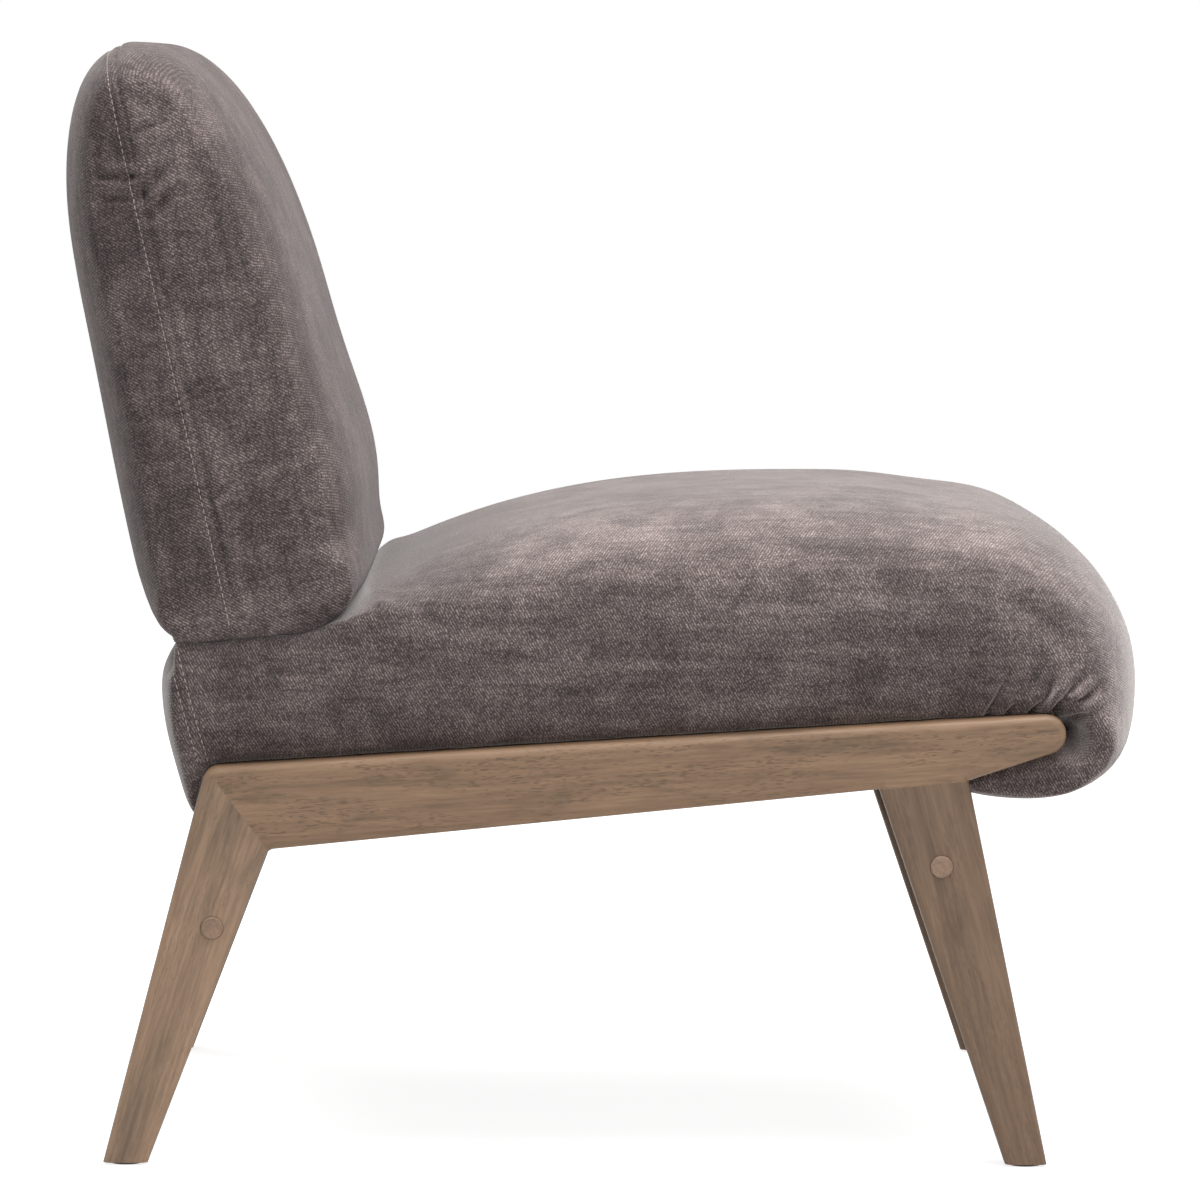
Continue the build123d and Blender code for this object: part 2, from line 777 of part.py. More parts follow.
def back_dowel_planes(side):
    # Two dowels in each joint of a post and a back rail
    planes = []
    for middle in rail_middles:
        for shift in (-dowel_spacing / 2, dowel_spacing / 2):
            p = back_point((post_front + post_rear) / 2, middle + shift)
            planes.append(side_plane(side, Vector(0, p.X, p.Y), post_inner_x))
    return planes


for side, name in ((-1, "back_post_left"), (1, "back_post_right")):
    with BuildPart() as back_post:
        side_prism(post_shape(0), side * post_inner_x, side * post_outer_x)
        with Locations(*post_screw_planes(post_rear)):
            Hole(post_screw_radius + post_screw_fit, 2 * post_depth)
        cut_dowel_holes(back_dowel_planes(side))
    save(back_post, name)

for low, high, name in (
    (top_rail_low, post_top, "back_top_rail"),
    (bottom_rail_lift, bottom_rail_top, "back_bottom_rail"),
):
    with BuildPart() as back_rail:
        side_prism(back_rect(post_front, post_rear, low, high), -post_inner_x, post_inner_x)
        cut_dowel_holes(back_dowel_planes(-1) + back_dowel_planes(1))
    save(back_rail, name)

with BuildPart() as back_dowels:
    with Locations(*(back_dowel_planes(-1) + back_dowel_planes(1))):
        Cylinder(dowel_radius, dowel_length)
save(back_dowels, "back_dowels")

with BuildPart() as back_webbing:
    pitch = (top_rail_low - bottom_rail_top) / back_web_count
    reach = post_outer_x - web_end_margin
    for i in range(back_web_count):
        middle = bottom_rail_top + (i + 0.5) * pitch
        strap = back_rect(post_front - web_thickness, post_front, middle - web_width / 2, middle + web_width / 2)
        side_prism(strap, -reach, reach)
save(back_webbing, "back_webbing")

with BuildPart() as post_screws:
    with Locations(*post_screw_planes(post_rear)):
        Cylinder(post_screw_head_radius, post_screw_head_height, align=from_base)
        Cylinder(post_screw_radius, post_screw_length, align=from_top)
save(post_screws, "post_screws")

# Seat upholstery: foam over the frame, then the wadded cover with its rear panel
def frame_room(room):
    # The space inside the seat that its boards and webbing take
    return [
        seat_point(front_board_front - room, far_down),
        post_point(post_front + room, far_down),
        post_point(post_front + room, web_top + room),
        seat_point(front_board_front - room, web_top + room),
    ]


def cut_screw_heads():
    with Locations(*post_screw_planes(post_rear)):
        head_room = post_screw_head_height + slot_fit
        Cylinder(post_screw_head_radius + slot_fit, head_room, align=from_base, mode=Mode.SUBTRACT)


with BuildPart() as seat_foam:
    core_prism(core_outline(seat_places, seat_wadding + pad_fit, underside_knots), board_outer_x)
    side_prism(frame_room(pad_fit), -inner_x, inner_x, Mode.SUBTRACT)
    cut_post_slots()
    cut_screw_heads()
save(seat_foam, "seat_foam")

with BuildPart() as seat_shell:
    add(soft_form(seat_places, seat_half_width, seat_edge_roll, seat_roll_power))
    add(rail_slots(rail_gap), mode=Mode.SUBTRACT)
    core_prism(core_outline(seat_places, seat_wadding, underside_knots), core_half_width, Mode.SUBTRACT)
    side_prism(frame_room(pad_fit), -core_half_width, core_half_width, Mode.SUBTRACT)
    cut_post_slots()
    cut_screw_heads()
    with Locations(*rail_faces):
        Cylinder(bolt_radius + bolt_fit, board_thickness, mode=Mode.SUBTRACT)

# The double-stitched seam rises from the rails' rear corners
seam_way = (0, cos(radians(seat_seam_lean)), -sin(radians(seat_seam_lean)))
seat_seam_plane = Plane(origin=(0, *rear_corner), x_dir=(1, 0, 0), z_dir=seam_way)
for keep, name in ((Keep.BOTTOM, "seat_cover"), (Keep.TOP, "seat_cover_rear")):
    with BuildPart() as seat_cover:
        add(seat_shell.part)
        split(bisect_by=seat_seam_plane, keep=keep)
    save(seat_cover, name)

# Back upholstery: foam before and behind the back frame, then the wadded covers, which meet at the side seam
foam_split = post_front - web_thickness - pad_fit
back_core_width = back_width / 2 - back_side_wadding
back_foam_outline = core_outline(back_places, back_wadding + pad_fit)


def cut_back_frame_room():
    pocket = back_rect(foam_split, post_rear + pad_fit, bottom_rail_lift - pad_fit, post_top + pad_fit)
    side_prism(pocket, -post_outer_x - pad_fit, post_outer_x + pad_fit, Mode.SUBTRACT)
    cut_post_slots()


with BuildPart() as back_foam_front:
    core_prism(back_foam_outline, back_core_width - pad_fit)
    split(bisect_by=back_plane(foam_split), keep=Keep.BOTTOM)
save(back_foam_front, "back_foam_front")

with BuildPart() as back_foam_rear:
    core_prism(back_foam_outline, back_core_width - pad_fit)
    split(bisect_by=back_plane(foam_split), keep=Keep.TOP)
    cut_back_frame_room()
save(back_foam_rear, "back_foam_rear")

with BuildPart() as back_shell:
    add(soft_form(back_places, back_width / 2, back_edge_roll, back_roll_power))
    core_prism(core_outline(back_places, back_wadding), back_core_width, Mode.SUBTRACT)
    cut_back_frame_room()

for keep, name in ((Keep.BOTTOM, "back_cover_front"), (Keep.TOP, "back_cover_rear")):
    with BuildPart() as back_cover:
        add(back_shell.part)
        split(bisect_by=back_plane(0), keep=keep)
    save(back_cover, name)
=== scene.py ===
"""Looks of an armless accent chair: washed wood, stitched chenille cushions and a plain studio."""

from math import atan2, cos, pi, radians, sin, tan

import bmesh
import bpy
import numpy as np
from bpy.props import FloatProperty, FloatVectorProperty, PointerProperty
from bpy.types import Operator, Panel, PropertyGroup
from mathutils import Matrix, Vector


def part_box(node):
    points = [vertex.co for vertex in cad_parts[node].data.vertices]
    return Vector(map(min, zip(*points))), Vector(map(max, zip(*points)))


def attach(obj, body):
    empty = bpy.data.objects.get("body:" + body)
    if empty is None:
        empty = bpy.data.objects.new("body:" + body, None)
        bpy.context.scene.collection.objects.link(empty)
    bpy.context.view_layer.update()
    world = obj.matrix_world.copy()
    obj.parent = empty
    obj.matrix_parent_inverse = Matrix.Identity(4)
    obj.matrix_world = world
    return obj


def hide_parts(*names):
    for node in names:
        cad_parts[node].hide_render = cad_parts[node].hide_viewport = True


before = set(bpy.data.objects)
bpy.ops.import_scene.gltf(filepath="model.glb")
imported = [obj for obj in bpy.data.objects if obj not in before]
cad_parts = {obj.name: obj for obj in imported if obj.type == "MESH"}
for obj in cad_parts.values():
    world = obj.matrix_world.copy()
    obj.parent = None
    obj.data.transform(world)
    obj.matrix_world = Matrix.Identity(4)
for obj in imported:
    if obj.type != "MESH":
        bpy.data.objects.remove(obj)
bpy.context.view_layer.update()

bl_info = {
    "name": "Accent Chair Looks",
    "version": (1, 0, 0),
    "blender": (4, 5, 0),
    "location": "View3D > Sidebar > Chair",
    "description": "Dresses the packed accent chair with wood, fabric, stitching and a studio",
    "category": "Object",
}

# The wooden side frame in the side view, in metres, as the part's source has it
OUTER_X = 0.310
INNER_X = 0.276
RAIL_LENGTH = 0.6035
RAIL_REAR_Y = 0.27880
RAIL_FRONT_Y = RAIL_REAR_Y - RAIL_LENGTH
RAIL_MID_HEIGHT = 0.2993
RAIL_MID_DEPTH = 0.0521
RAIL_SLOPE = radians(3.7)
RAIL_UNDER_SLOPE = radians(5.8)
NOSE_LENGTH = 0.0681
NOSE_SLOPE = radians(18.2)
NOSE_RADIUS = 0.0134
REAR_CORNER_RADIUS = 0.011
FRONT_LEG_TOP = 0.0627
FRONT_LEG_RAKE = 0.0567
FRONT_FOOT = 0.0294
REAR_LEG_TOP = 0.0438
REAR_LEG_RAKE = 0.0724
REAR_FOOT = 0.0315
GLIDE = 0.002

# The cushions' profiles: share of the length, share of the height or depth, heading, share of the edge roll
SEAT_FRONT_OVERHANG = 0.0618
SEAT_REAR_OVERHANG = 0.0367
SEAT_RISE = 0.160
SEAT_DROP = 0.044
SEAT_HALF_WIDTH = 0.308
SEAT_ROLL = 0.090
SEAT_ROLL_POWERS = (4.0, 2.0)
SEAT_REGAIN = 0.0014
SEAT_KNOTS = (
    (0.625, 1.000, 0.0, 1.0),
    (0.363, 0.943, -14.5, 0.80),
    (0.241, 0.780, -24.0, 0.42),
    (0.208, 0.722, -58.0, 0.22),
    (0.157, 0.556, -25.0, 0.12),
    (0.076, 0.520, -3.0, 0.12),
    (0.021, 0.500, -28.0, 0.12),
    (0.000, 0.350, -90.0, 0.20),
    (0.023, -0.560, -107.0, 0.2),
    (0.048, -1.000, 176.3, 0.15),
    (0.739, -1.050, 178.0, 0.1),
    (0.888, -1.450, 178.0, 0.06),
    (0.979, -0.990, 130.0, 0.22),
    (1.000, 0.110, 90.0, 0.78),
    (0.963, 0.535, 57.0, 1.0),
    (0.899, 0.768, 36.0, 1.0),
    (0.762, 0.938, 10.0, 1.0),
)
BACK_HALF_WIDTH = 0.306
BACK_HEIGHT = 0.4372
BACK_FRONT_DEPTH = 0.101
BACK_REAR_DEPTH = 0.0715
BACK_RECLINE = 12.65
BACK_SETBACK = 0.0277
BACK_LIFT = 0.0796
BACK_ROLL = 0.052
BACK_ROLL_POWERS = (6.0, 2.0)
BACK_REGAIN = 0.0010
BACK_KNOTS = (
    (1.000, -0.125, 12.0, 1.0),
    (0.821, 0.800, -77.35, 1.0),
    (0.473, 0.932, -88.0, 1.0),
    (0.173, 0.968, -90.0, 0.75),
    (0.041, 0.695, -139.0, 0.12),
    (0.016, 0.134, 190.0, 0.15),
    (0.009, -0.476, 168.0, 0.15),
    (0.054, -0.866, 133.0, 0.45),
    (0.153, -0.962, 103.0, 0.9),
    (0.509, -0.912, 88.0, 1.0),
    (0.856, -0.672, 71.0, 1.0),
)
LOFT_STATIONS = 41
ARC_POINTS = 6
CORNER_POINTS = 8
PROFILE_POINTS = 340

# The seat's sides: narrower towards the crown from this rise above the rails,
# and turned in over the rails between their front and rear
CROWN_NARROWING = 0.024
CROWN_FROM, CROWN_RISE = 0.065, 0.095
TURN_IN = 0.018
TURN_IN_RISE = 0.072
TURN_IN_FRONT = (-0.335, -0.290)
TURN_IN_REAR = (0.305, 0.275)
TURN_IN_SIDE = (0.270, 0.304)

# Seams: the way across each seam's plane in the side view, and where the stitches lie beside it
SEAT_SEAM_LEAN = radians(14.5)
SEAT_SEAM_WAY = np.array((cos(SEAT_SEAM_LEAN), -sin(SEAT_SEAM_LEAN)))
SEAT_STITCH_ROWS = (-0.0016, 0.0052)
SEAT_SEAM_MIDDLE = 0.0018
BACK_LEAN = radians(BACK_RECLINE)
BACK_SEAM_WAY = np.array((cos(BACK_LEAN), -sin(BACK_LEAN)))
BACK_STITCH_ROW = 0.0065
STITCH_LINE_STEP = 0.0015
STITCH_LIFT = 0.25

# The side panels: from how far off the middle they are pressed in,
# and where tucks, creases and the hollow at the nose are whole
PANEL_FROM = 0.262
TUCK_FULL = 0.300
CREASE_FULL = PANEL_FROM + 0.022
NOSE_RECESS_FULL = 0.285
# How far sideways a face looks, from the profile to the side panel
PANEL_FACING = (0.55, 0.95)

# Creases in the side view: half width, depth, lip beside it, then the (y, z) line from its deep end
SEAT_CREASES = (
    (0.0070, 0.0036, 0.0012, (-0.2390, 0.3230), (-0.2540, 0.3400), (-0.2740, 0.3600)),
    (0.0026, 0.0062, 0.0020, (-0.2710, 0.3170), (-0.2800, 0.3358), (-0.2900, 0.3560)),
    (0.0022, 0.0040, 0.0014, (-0.2845, 0.3180), (-0.2940, 0.3290)),
    (0.0026, 0.0076, 0.0024, (-0.3010, 0.3170), (-0.3102, 0.3289), (-0.3137, 0.3402), (-0.3205, 0.3570)),
    (0.0024, 0.0072, 0.0028, (-0.3105, 0.3180), (-0.3242, 0.3304), (-0.3430, 0.3520)),
    (0.0028, 0.0076, 0.0028, (-0.3175, 0.3205), (-0.3347, 0.3277), (-0.3570, 0.3440)),
    (0.0030, 0.0044, 0.0016, (-0.3250, 0.3140), (-0.3480, 0.3220)),
)
BACK_CREASES = (
    (0.0042, 0.0085, 0.0020, (0.3225, 0.6805), (0.3000, 0.7110)),
    (0.0038, 0.0075, 0.0016, (0.3176, 0.6672), (0.2990, 0.6890)),
    (0.0026, 0.0050, 0.0014, (0.3300, 0.6940), (0.3660, 0.6958)),
    (0.0026, 0.0040, 0.0010, (0.3340, 0.6793), (0.3580, 0.6785)),
    (0.0024, 0.0028, 0.0006, (0.3265, 0.7250), (0.3100, 0.7320)),
    (0.0026, 0.0030, 0.0006, (0.3060, 0.6140), (0.2930, 0.6290)),
    (0.0024, 0.0026, 0.0006, (0.2910, 0.5440), (0.2770, 0.5560)),
    (0.0024, 0.0026, 0.0006, (0.2950, 0.5300), (0.3100, 0.5250)),
    (0.0024, 0.0026, 0.0006, (0.2750, 0.4690), (0.2600, 0.4780)),
)
CREASE_FADE = (0.45, 1.0)
CREASE_LIP_AT = 2.4
# The hollow round the rail's nose, and the tuck of the cover along the rail, deeper near the nose
NOSE_RECESS = (-0.3300, 0.3045)
NOSE_RECESS_SIZE = (0.0085, 0.0135)
NOSE_RECESS_DEPTH = 0.055
TUCK_DEPTH, TUCK_REACH = 0.005, 0.004
NOSE_TUCK_DEPTH, NOSE_TUCK_REACH = 0.020, 0.005
NOSE_TUCK_FROM = (-0.308, -0.322)

# Where the back sits down on the seat, as it shows at the side, from the rear
CREASE = (
    (0.3011, 0.3682),
    (0.2843, 0.3675),
    (0.2626, 0.3698),
    (0.2296, 0.3735),
    (0.2138, 0.3743),
    (0.1981, 0.3789),
    (0.1826, 0.3885),
    (0.1700, 0.4040),
    (0.1623, 0.4216),
    (0.1567, 0.4321),
)
# Where along that line the seat (-1) and the back (1) part from it again
CREASE_ENDS = {-1: (0.60, 0.85), 1: (0.70, 0.97)}
CREASE_REACH = (0.020, 0.030)
CREASE_FACING = (0.15, 0.5)
CREASE_GAP = 0.0003
CREASE_GROOVE, CREASE_GROOVE_REACH = 0.007, 0.006

# Stuffing: how the cover behaves as cloth, how long it swells, how often the swelling is averaged,
# and the shares of small crumples and of the profile's swelling that stay
CLOTH = {
    "quality": 4,
    "mass": 0.3,
    "tension_stiffness": 18,
    "compression_stiffness": 18,
    "shear_stiffness": 8,
    "bending_stiffness": 2,
    "vertex_group_mass": "held",
    "use_pressure": True,
}
STUFFING_FRAMES = 20
SWELL_ROUNDS = 40
CRUMPLE_SHARE = 0.12
PROFILE_SHARE = 0.10

# The seat's slots for the rails, its recess for the lining, and the lining with its staples
SLOT_EASE, SLOT_REACH = 0.0005, 0.05
WOOD_ROOM = 0.0006
RECESS_ROOM = 0.002
RECESS_ROOF, RECESS_FLOOR = -0.036, -0.12
LINING_DROP = 0.0403
LINING_POINTS = 41
LINING_HANG = 0.2
STAPLE_SIZE = (0.010, 0.0012, 0.0008)
STAPLE_DROP = 0.0010
STAPLE_LINE_POINTS = 30

# Grain in the side view, and how much darker the legs are where they meet the rail
REAR_GRAIN, REAR_TOP_SHADE = radians(-17.8), 0.78
FRONT_GRAIN, FRONT_TOP_SHADE = radians(15.4), 0.92
LEG_TOP_HEIGHTS = (0.185, 0.235)

# The studio: half the floor's width, what the camera sees of it, then each light's power, size and place
FLOOR_REACH = 60.0
FLOOR_GLOW = 0.82
LIGHTS = {
    "key light": ("key_power", 2.4, (-0.5, -0.6, 3.0)),
    "fill light": ("fill_power", 3.0, (-3.6, -0.6, 1.6)),
    "rim light": ("fill_power", 2.5, (2.2, 1.6, 2.4)),
}
LIGHT_TARGET = Vector((0, 0, 0.4))
CAMERA_PLACE = (-5.240, 0.01807, 0.77067)
CAMERA_PITCH, CAMERA_YAW, CAMERA_ROLL = radians(4.300), radians(0.181), radians(0.168)


def rail_top(y):
    return RAIL_MID_HEIGHT - y * tan(RAIL_SLOPE)


def rail_under(y):
    return RAIL_MID_HEIGHT - RAIL_MID_DEPTH - y * tan(RAIL_UNDER_SLOPE)


def back_point(across, up):
    """A point of the back's tilted frame in the side view: behind its seam plane and up from its bottom."""
    foot_y = RAIL_REAR_Y - BACK_SETBACK
    y = foot_y + across * cos(BACK_LEAN) + up * sin(BACK_LEAN)
    z = rail_top(foot_y) + BACK_LIFT - across * sin(BACK_LEAN) + up * cos(BACK_LEAN)
    return np.array((y, z))


def back_frame(points):
    """How far points lie behind the back's seam plane and above its bottom."""
    from_foot = points[:, 1:] - back_point(0, 0)
    return from_foot @ BACK_SEAM_WAY, from_foot @ np.array((sin(BACK_LEAN), cos(BACK_LEAN)))


def seat_corner():
    """The rail's rear top corner in the side view, where the seat's rear seam starts."""
    return np.array((RAIL_REAR_Y, rail_top(RAIL_REAR_Y)))


def seat_place(knot):
    share, rise, heading, roll = knot
    depth = RAIL_LENGTH + SEAT_FRONT_OVERHANG + SEAT_REAR_OVERHANG
    y = RAIL_REAR_Y + SEAT_REAR_OVERHANG - share * depth
    z = rail_top(y) + rise * (SEAT_RISE if rise > 0 else SEAT_DROP)
    return np.array((y, z)), radians(heading), roll


def back_place(knot):
    up, across, heading, roll = knot
    depth = BACK_REAR_DEPTH if across > 0 else BACK_FRONT_DEPTH
    return back_point(across * depth, up * BACK_HEIGHT), radians(heading - BACK_RECLINE), roll


def arc_points(start, way, end, count):
    """Points from start to just before end on the arc that leaves along way."""
    chord = end - start
    bend = atan2(way[0] * chord[1] - way[1] * chord[0], way @ chord)
    shares = np.arange(count)[:, None] / count
    if abs(bend) < 1e-4:
        return start + shares * chord
    radius = np.linalg.norm(chord) / (2 * sin(bend))
    left = np.array((-way[1], way[0]))
    return start + radius * (np.sin(2 * bend * shares) * way + (1 - np.cos(2 * bend * shares)) * left)


def soft_profile(places, inset):
    """A closed line of tangent arcs through the knots, moved inwards by a share of inset."""
    knots = []
    for place, heading, roll in places:
        way = np.array((cos(heading), sin(heading)))
        knots.append((place + np.array((way[1], -way[0])) * inset * roll, way))
    line = []
    for (start, leave), (end, arrive) in zip(knots, knots[1:] + knots[:1]):
        chord = end - start
        turn = 2 * (1 - leave @ arrive)
        reach = chord @ (leave + arrive)
        square = chord @ chord
        if turn < 1e-9:
            arm = square / (2 * reach)
        else:
            arm = ((reach**2 + turn * square) ** 0.5 - reach) / turn
        near, far = start + leave * arm, end - arrive * arm
        middle = (near + far) / 2
        along = (far - near) / np.linalg.norm(far - near)
        line.append(arc_points(start, leave, middle, ARC_POINTS))
        line.append(arc_points(middle, along, end, ARC_POINTS))
    return np.concatenate(line)


def ease_line(line, count, spread):
    """The closed line again with even spacing, its bends eased over the length that spread gives."""
    closed = np.vstack((line, line[:1]))
    run = np.concatenate(((0.0,), np.cumsum(np.linalg.norm(np.diff(closed, axis=0), axis=1))))
    even = np.linspace(0, run[-1], count, endpoint=False)
    points = np.column_stack([np.interp(even, run, closed[:, axis]) for axis in (0, 1)])
    apart = np.abs(even[:, None] - even[None, :])
    apart = np.minimum(apart, run[-1] - apart)
    weights = np.exp(-0.5 * (apart / spread(points)[:, None]) ** 2)
    return weights @ points / weights.sum(axis=1)[:, None]


def new_object(name, mesh):
    obj = bpy.data.objects.new(name, mesh)
    bpy.context.scene.collection.objects.link(obj)
    return obj


def drop_object(obj):
    mesh = obj.data
    bpy.data.objects.remove(obj)
    bpy.data.meshes.remove(mesh)


def mesh_of(name, points, faces):
    mesh = bpy.data.meshes.new(name)
    mesh.from_pydata([tuple(p) for p in points], [], faces)
    solid = bmesh.new()
    solid.from_mesh(mesh)
    bmesh.ops.remove_doubles(solid, verts=solid.verts, dist=1e-6)
    bmesh.ops.recalc_face_normals(solid, faces=solid.faces)
    solid.to_mesh(mesh)
    solid.free()
    return mesh


def loft(name, points, size):
    """A closed object through loops of size points each, with a face at both ends."""
    faces = [
        (k + i, k + (i + 1) % size, k + size + (i + 1) % size, k + size + i)
        for k in range(0, len(points) - size, size)
        for i in range(size)
    ]
    faces += [tuple(range(size)), tuple(range(len(points) - size, len(points)))]
    return new_object(name, mesh_of(name, points, faces))


def soft_form(name, places, half_width, roll, powers, spread):
    """A cushion's closed form: its profile lofted across the chair over rolled side edges.

    The first of the powers flattens the crown across the chair, the second the start of the side panels."""
    rows = []
    for k in range(LOFT_STATIONS):
        turn = pi * k / (LOFT_STATIONS - 1)
        x = -half_width * np.sign(cos(turn)) * abs(cos(turn)) ** (2 / powers[0])
        line = soft_profile(places, roll * (1 - abs(sin(turn)) ** (2 / powers[1])))
        line = ease_line(line, PROFILE_POINTS, spread)
        rows.append(np.column_stack((np.full(len(line), x), line)))
    return loft(name, np.concatenate(rows), PROFILE_POINTS)


def prism(name, outline, x_from, x_to):
    """A closed prism across the chair from an outline in the side view."""
    points = [(x, y, z) for x in (x_from, x_to) for y, z in outline]
    return loft(name, points, len(outline))


def rounded_outline(corners):
    """A closed outline of (y, z, radius) corners with their arcs."""
    line = []
    for i, (y, z, radius) in enumerate(corners):
        here = np.array((y, z))
        before = np.array(corners[i - 1][:2]) - here
        after = np.array(corners[(i + 1) % len(corners)][:2]) - here
        before, after = before / np.linalg.norm(before), after / np.linalg.norm(after)
        if radius == 0:
            line.append(here[None])
            continue
        half = np.arccos(np.clip(before @ after, -1, 1)) / 2
        start = here + before * radius / tan(half)
        end = here + after * radius / tan(half)
        line.append(np.vstack((arc_points(start, -before, end, CORNER_POINTS), end)))
    return np.concatenate(line)


def frame_outline():
    """The side frame's outline, from the rear corner along the top to the nose, then the legs."""
    front_top_y = RAIL_FRONT_Y + NOSE_LENGTH
    nose_bottom = rail_under(front_top_y) + NOSE_LENGTH * tan(NOSE_SLOPE)
    front_inner_y = front_top_y + FRONT_LEG_TOP
    rear_inner_y = RAIL_REAR_Y - REAR_LEG_TOP
    return rounded_outline(
        [
            (RAIL_REAR_Y, rail_top(RAIL_REAR_Y), REAR_CORNER_RADIUS),
            (RAIL_FRONT_Y, rail_top(RAIL_FRONT_Y), NOSE_RADIUS),
            (RAIL_FRONT_Y, nose_bottom, NOSE_RADIUS),
            (front_top_y, rail_under(front_top_y), 0),
            (front_top_y - FRONT_LEG_RAKE, GLIDE, 0),
            (front_top_y - FRONT_LEG_RAKE + FRONT_FOOT, GLIDE, 0),
            (front_inner_y, rail_under(front_inner_y), 0),
            (rear_inner_y, rail_under(rear_inner_y), 0),
            (RAIL_REAR_Y + REAR_LEG_RAKE - REAR_FOOT, GLIDE, 0),
            (RAIL_REAR_Y + REAR_LEG_RAKE, GLIDE, 0),
        ]
    )


def outline_distance(points, outline):
    """Distance of side view points from a closed outline, negative inside, and the nearest points on it."""
    best = np.full(len(points), np.inf)
    nearest = np.zeros((len(points), 2))
    inside = np.zeros(len(points), bool)
    for a, b in zip(outline, np.roll(outline, -1, axis=0)):
        run = b - a
        length = run @ run
        if length < 1e-14:
            continue
        share = np.clip((points - a) @ run / length, 0, 1)[:, None]
        foot = a + share * run
        gap = np.linalg.norm(points - foot, axis=1)
        closer = gap < best
        best[closer], nearest[closer] = gap[closer], foot[closer]
        crosses = (a[1] > points[:, 1]) != (b[1] > points[:, 1])
        with np.errstate(divide="ignore", invalid="ignore"):
            meet = a[0] + (points[:, 1] - a[1]) / (b[1] - a[1]) * run[0]
        inside ^= crosses & (points[:, 0] < meet)
    return np.where(inside, -best, best), nearest


def evaluated_mesh(obj, name):
    """The object's mesh with its modifiers applied."""
    view = bpy.context.evaluated_depsgraph_get()
    mesh = bpy.data.meshes.new_from_object(
        obj.evaluated_get(view), preserve_all_data_layers=True, depsgraph=view
    )
    mesh.name = name
    return mesh


def settle(obj):
    """Applies the object's modifiers to its own mesh."""
    old = obj.data
    mesh = evaluated_mesh(obj, old.name + "_settled")
    obj.modifiers.clear()
    obj.data = mesh
    bpy.data.meshes.remove(old)


def cut_away(obj, cutters):
    for cutter in cutters:
        cut = obj.modifiers.new("cut", "BOOLEAN")
        cut.operation = "DIFFERENCE"
        cut.solver = "EXACT"
        cut.object = cutter
    settle(obj)
    for cutter in cutters:
        drop_object(cutter)


def remesh(obj, voxel):
    even = obj.modifiers.new("even", "REMESH")
    even.mode = "VOXEL"
    even.voxel_size = voxel
    settle(obj)


def vertex_rows(mesh, name):
    rows = np.empty(len(mesh.vertices) * 3, np.float32)
    mesh.vertices.foreach_get(name, rows)
    return rows.reshape(-1, 3).astype(float)


def positions(mesh):
    return vertex_rows(mesh, "co")


def normals(mesh):
    return vertex_rows(mesh, "normal")


def place_points(mesh, co):
    mesh.vertices.foreach_set("co", co.astype(np.float32).ravel())
    mesh.update()


def edge_ends(mesh):
    ends = np.empty(len(mesh.edges) * 2, np.int32)
    mesh.edges.foreach_get("vertices", ends)
    return ends.reshape(-1, 2).T


def smooth_step(low, high, value):
    t = np.clip((value - low) / (high - low), 0, 1)
    return t * t * (3 - 2 * t)


def bell(distance, width):
    return np.exp(-((distance / width) ** 2))


def on_panels(points, full):
    """0 in the middle of the chair, 1 on the side panels from full outwards."""
    return smooth_step(PANEL_FROM, full, np.abs(points[:, 0]))


def push_in(points, depth):
    """Moves points towards the middle of the chair."""
    points[:, 0] -= np.sign(points[:, 0]) * depth


def regain(mesh, amount):
    """Moves the profile out again by what easing and remeshing took from it."""
    out = normals(mesh)
    share = smooth_step(*PANEL_FACING[::-1], np.abs(out[:, 0]))
    place_points(mesh, positions(mesh) + out * (amount * share)[:, None])


def neighbour_mean(mesh, values, rounds):
    """Values at the vertices, averaged with their neighbours' a number of times."""
    a, b = edge_ends(mesh)
    size = len(values)
    count = np.maximum(np.bincount(np.concatenate((a, b)), minlength=size), 1)
    for _ in range(rounds):
        total = np.bincount(a, values[b], size) + np.bincount(b, values[a], size)
        values = (values + total / count) / 2
    return values


def puff(obj, held, pressure, cap, slack):
    """Swells a cushion with cloth simulation from a form that is smaller by slack.

    held is 1 where the cover is fixed, and cap limits how far the cover ends up from its form."""
    mesh = obj.data
    start = positions(mesh)
    out = normals(mesh)
    place_points(mesh, start - out * (slack * (1 - held))[:, None])
    pins = obj.vertex_groups.new(name="held")
    for i in np.nonzero(held > 0.01)[0]:
        pins.add([int(i)], float(held[i]), "REPLACE")
    cloth = obj.modifiers.new("cloth", "CLOTH")
    for name, value in CLOTH.items():
        setattr(cloth.settings, name, value)
    cloth.settings.uniform_pressure_force = pressure
    cloth.settings.effector_weights.gravity = 0
    cloth.collision_settings.use_collision = False
    cloth.point_cache.frame_start = 1
    cloth.point_cache.frame_end = STUFFING_FRAMES
    scene = bpy.context.scene
    for number in range(1, STUFFING_FRAMES + 1):
        scene.frame_set(number)
    settle(obj)
    scene.frame_set(1)
    obj.vertex_groups.clear()
    swell = np.einsum("ij,ij->i", positions(obj.data) - start, out)
    broad = neighbour_mean(obj.data, swell, SWELL_ROUNDS)
    swell = broad + (swell - broad) * CRUMPLE_SHARE
    sideways = smooth_step(*PANEL_FACING, np.abs(out[:, 0]))
    swell *= PROFILE_SHARE + (1 - PROFILE_SHARE) * sideways
    moved = out * np.clip(swell, -cap, cap)[:, None] * (1 - held)[:, None]
    place_points(obj.data, start + moved)


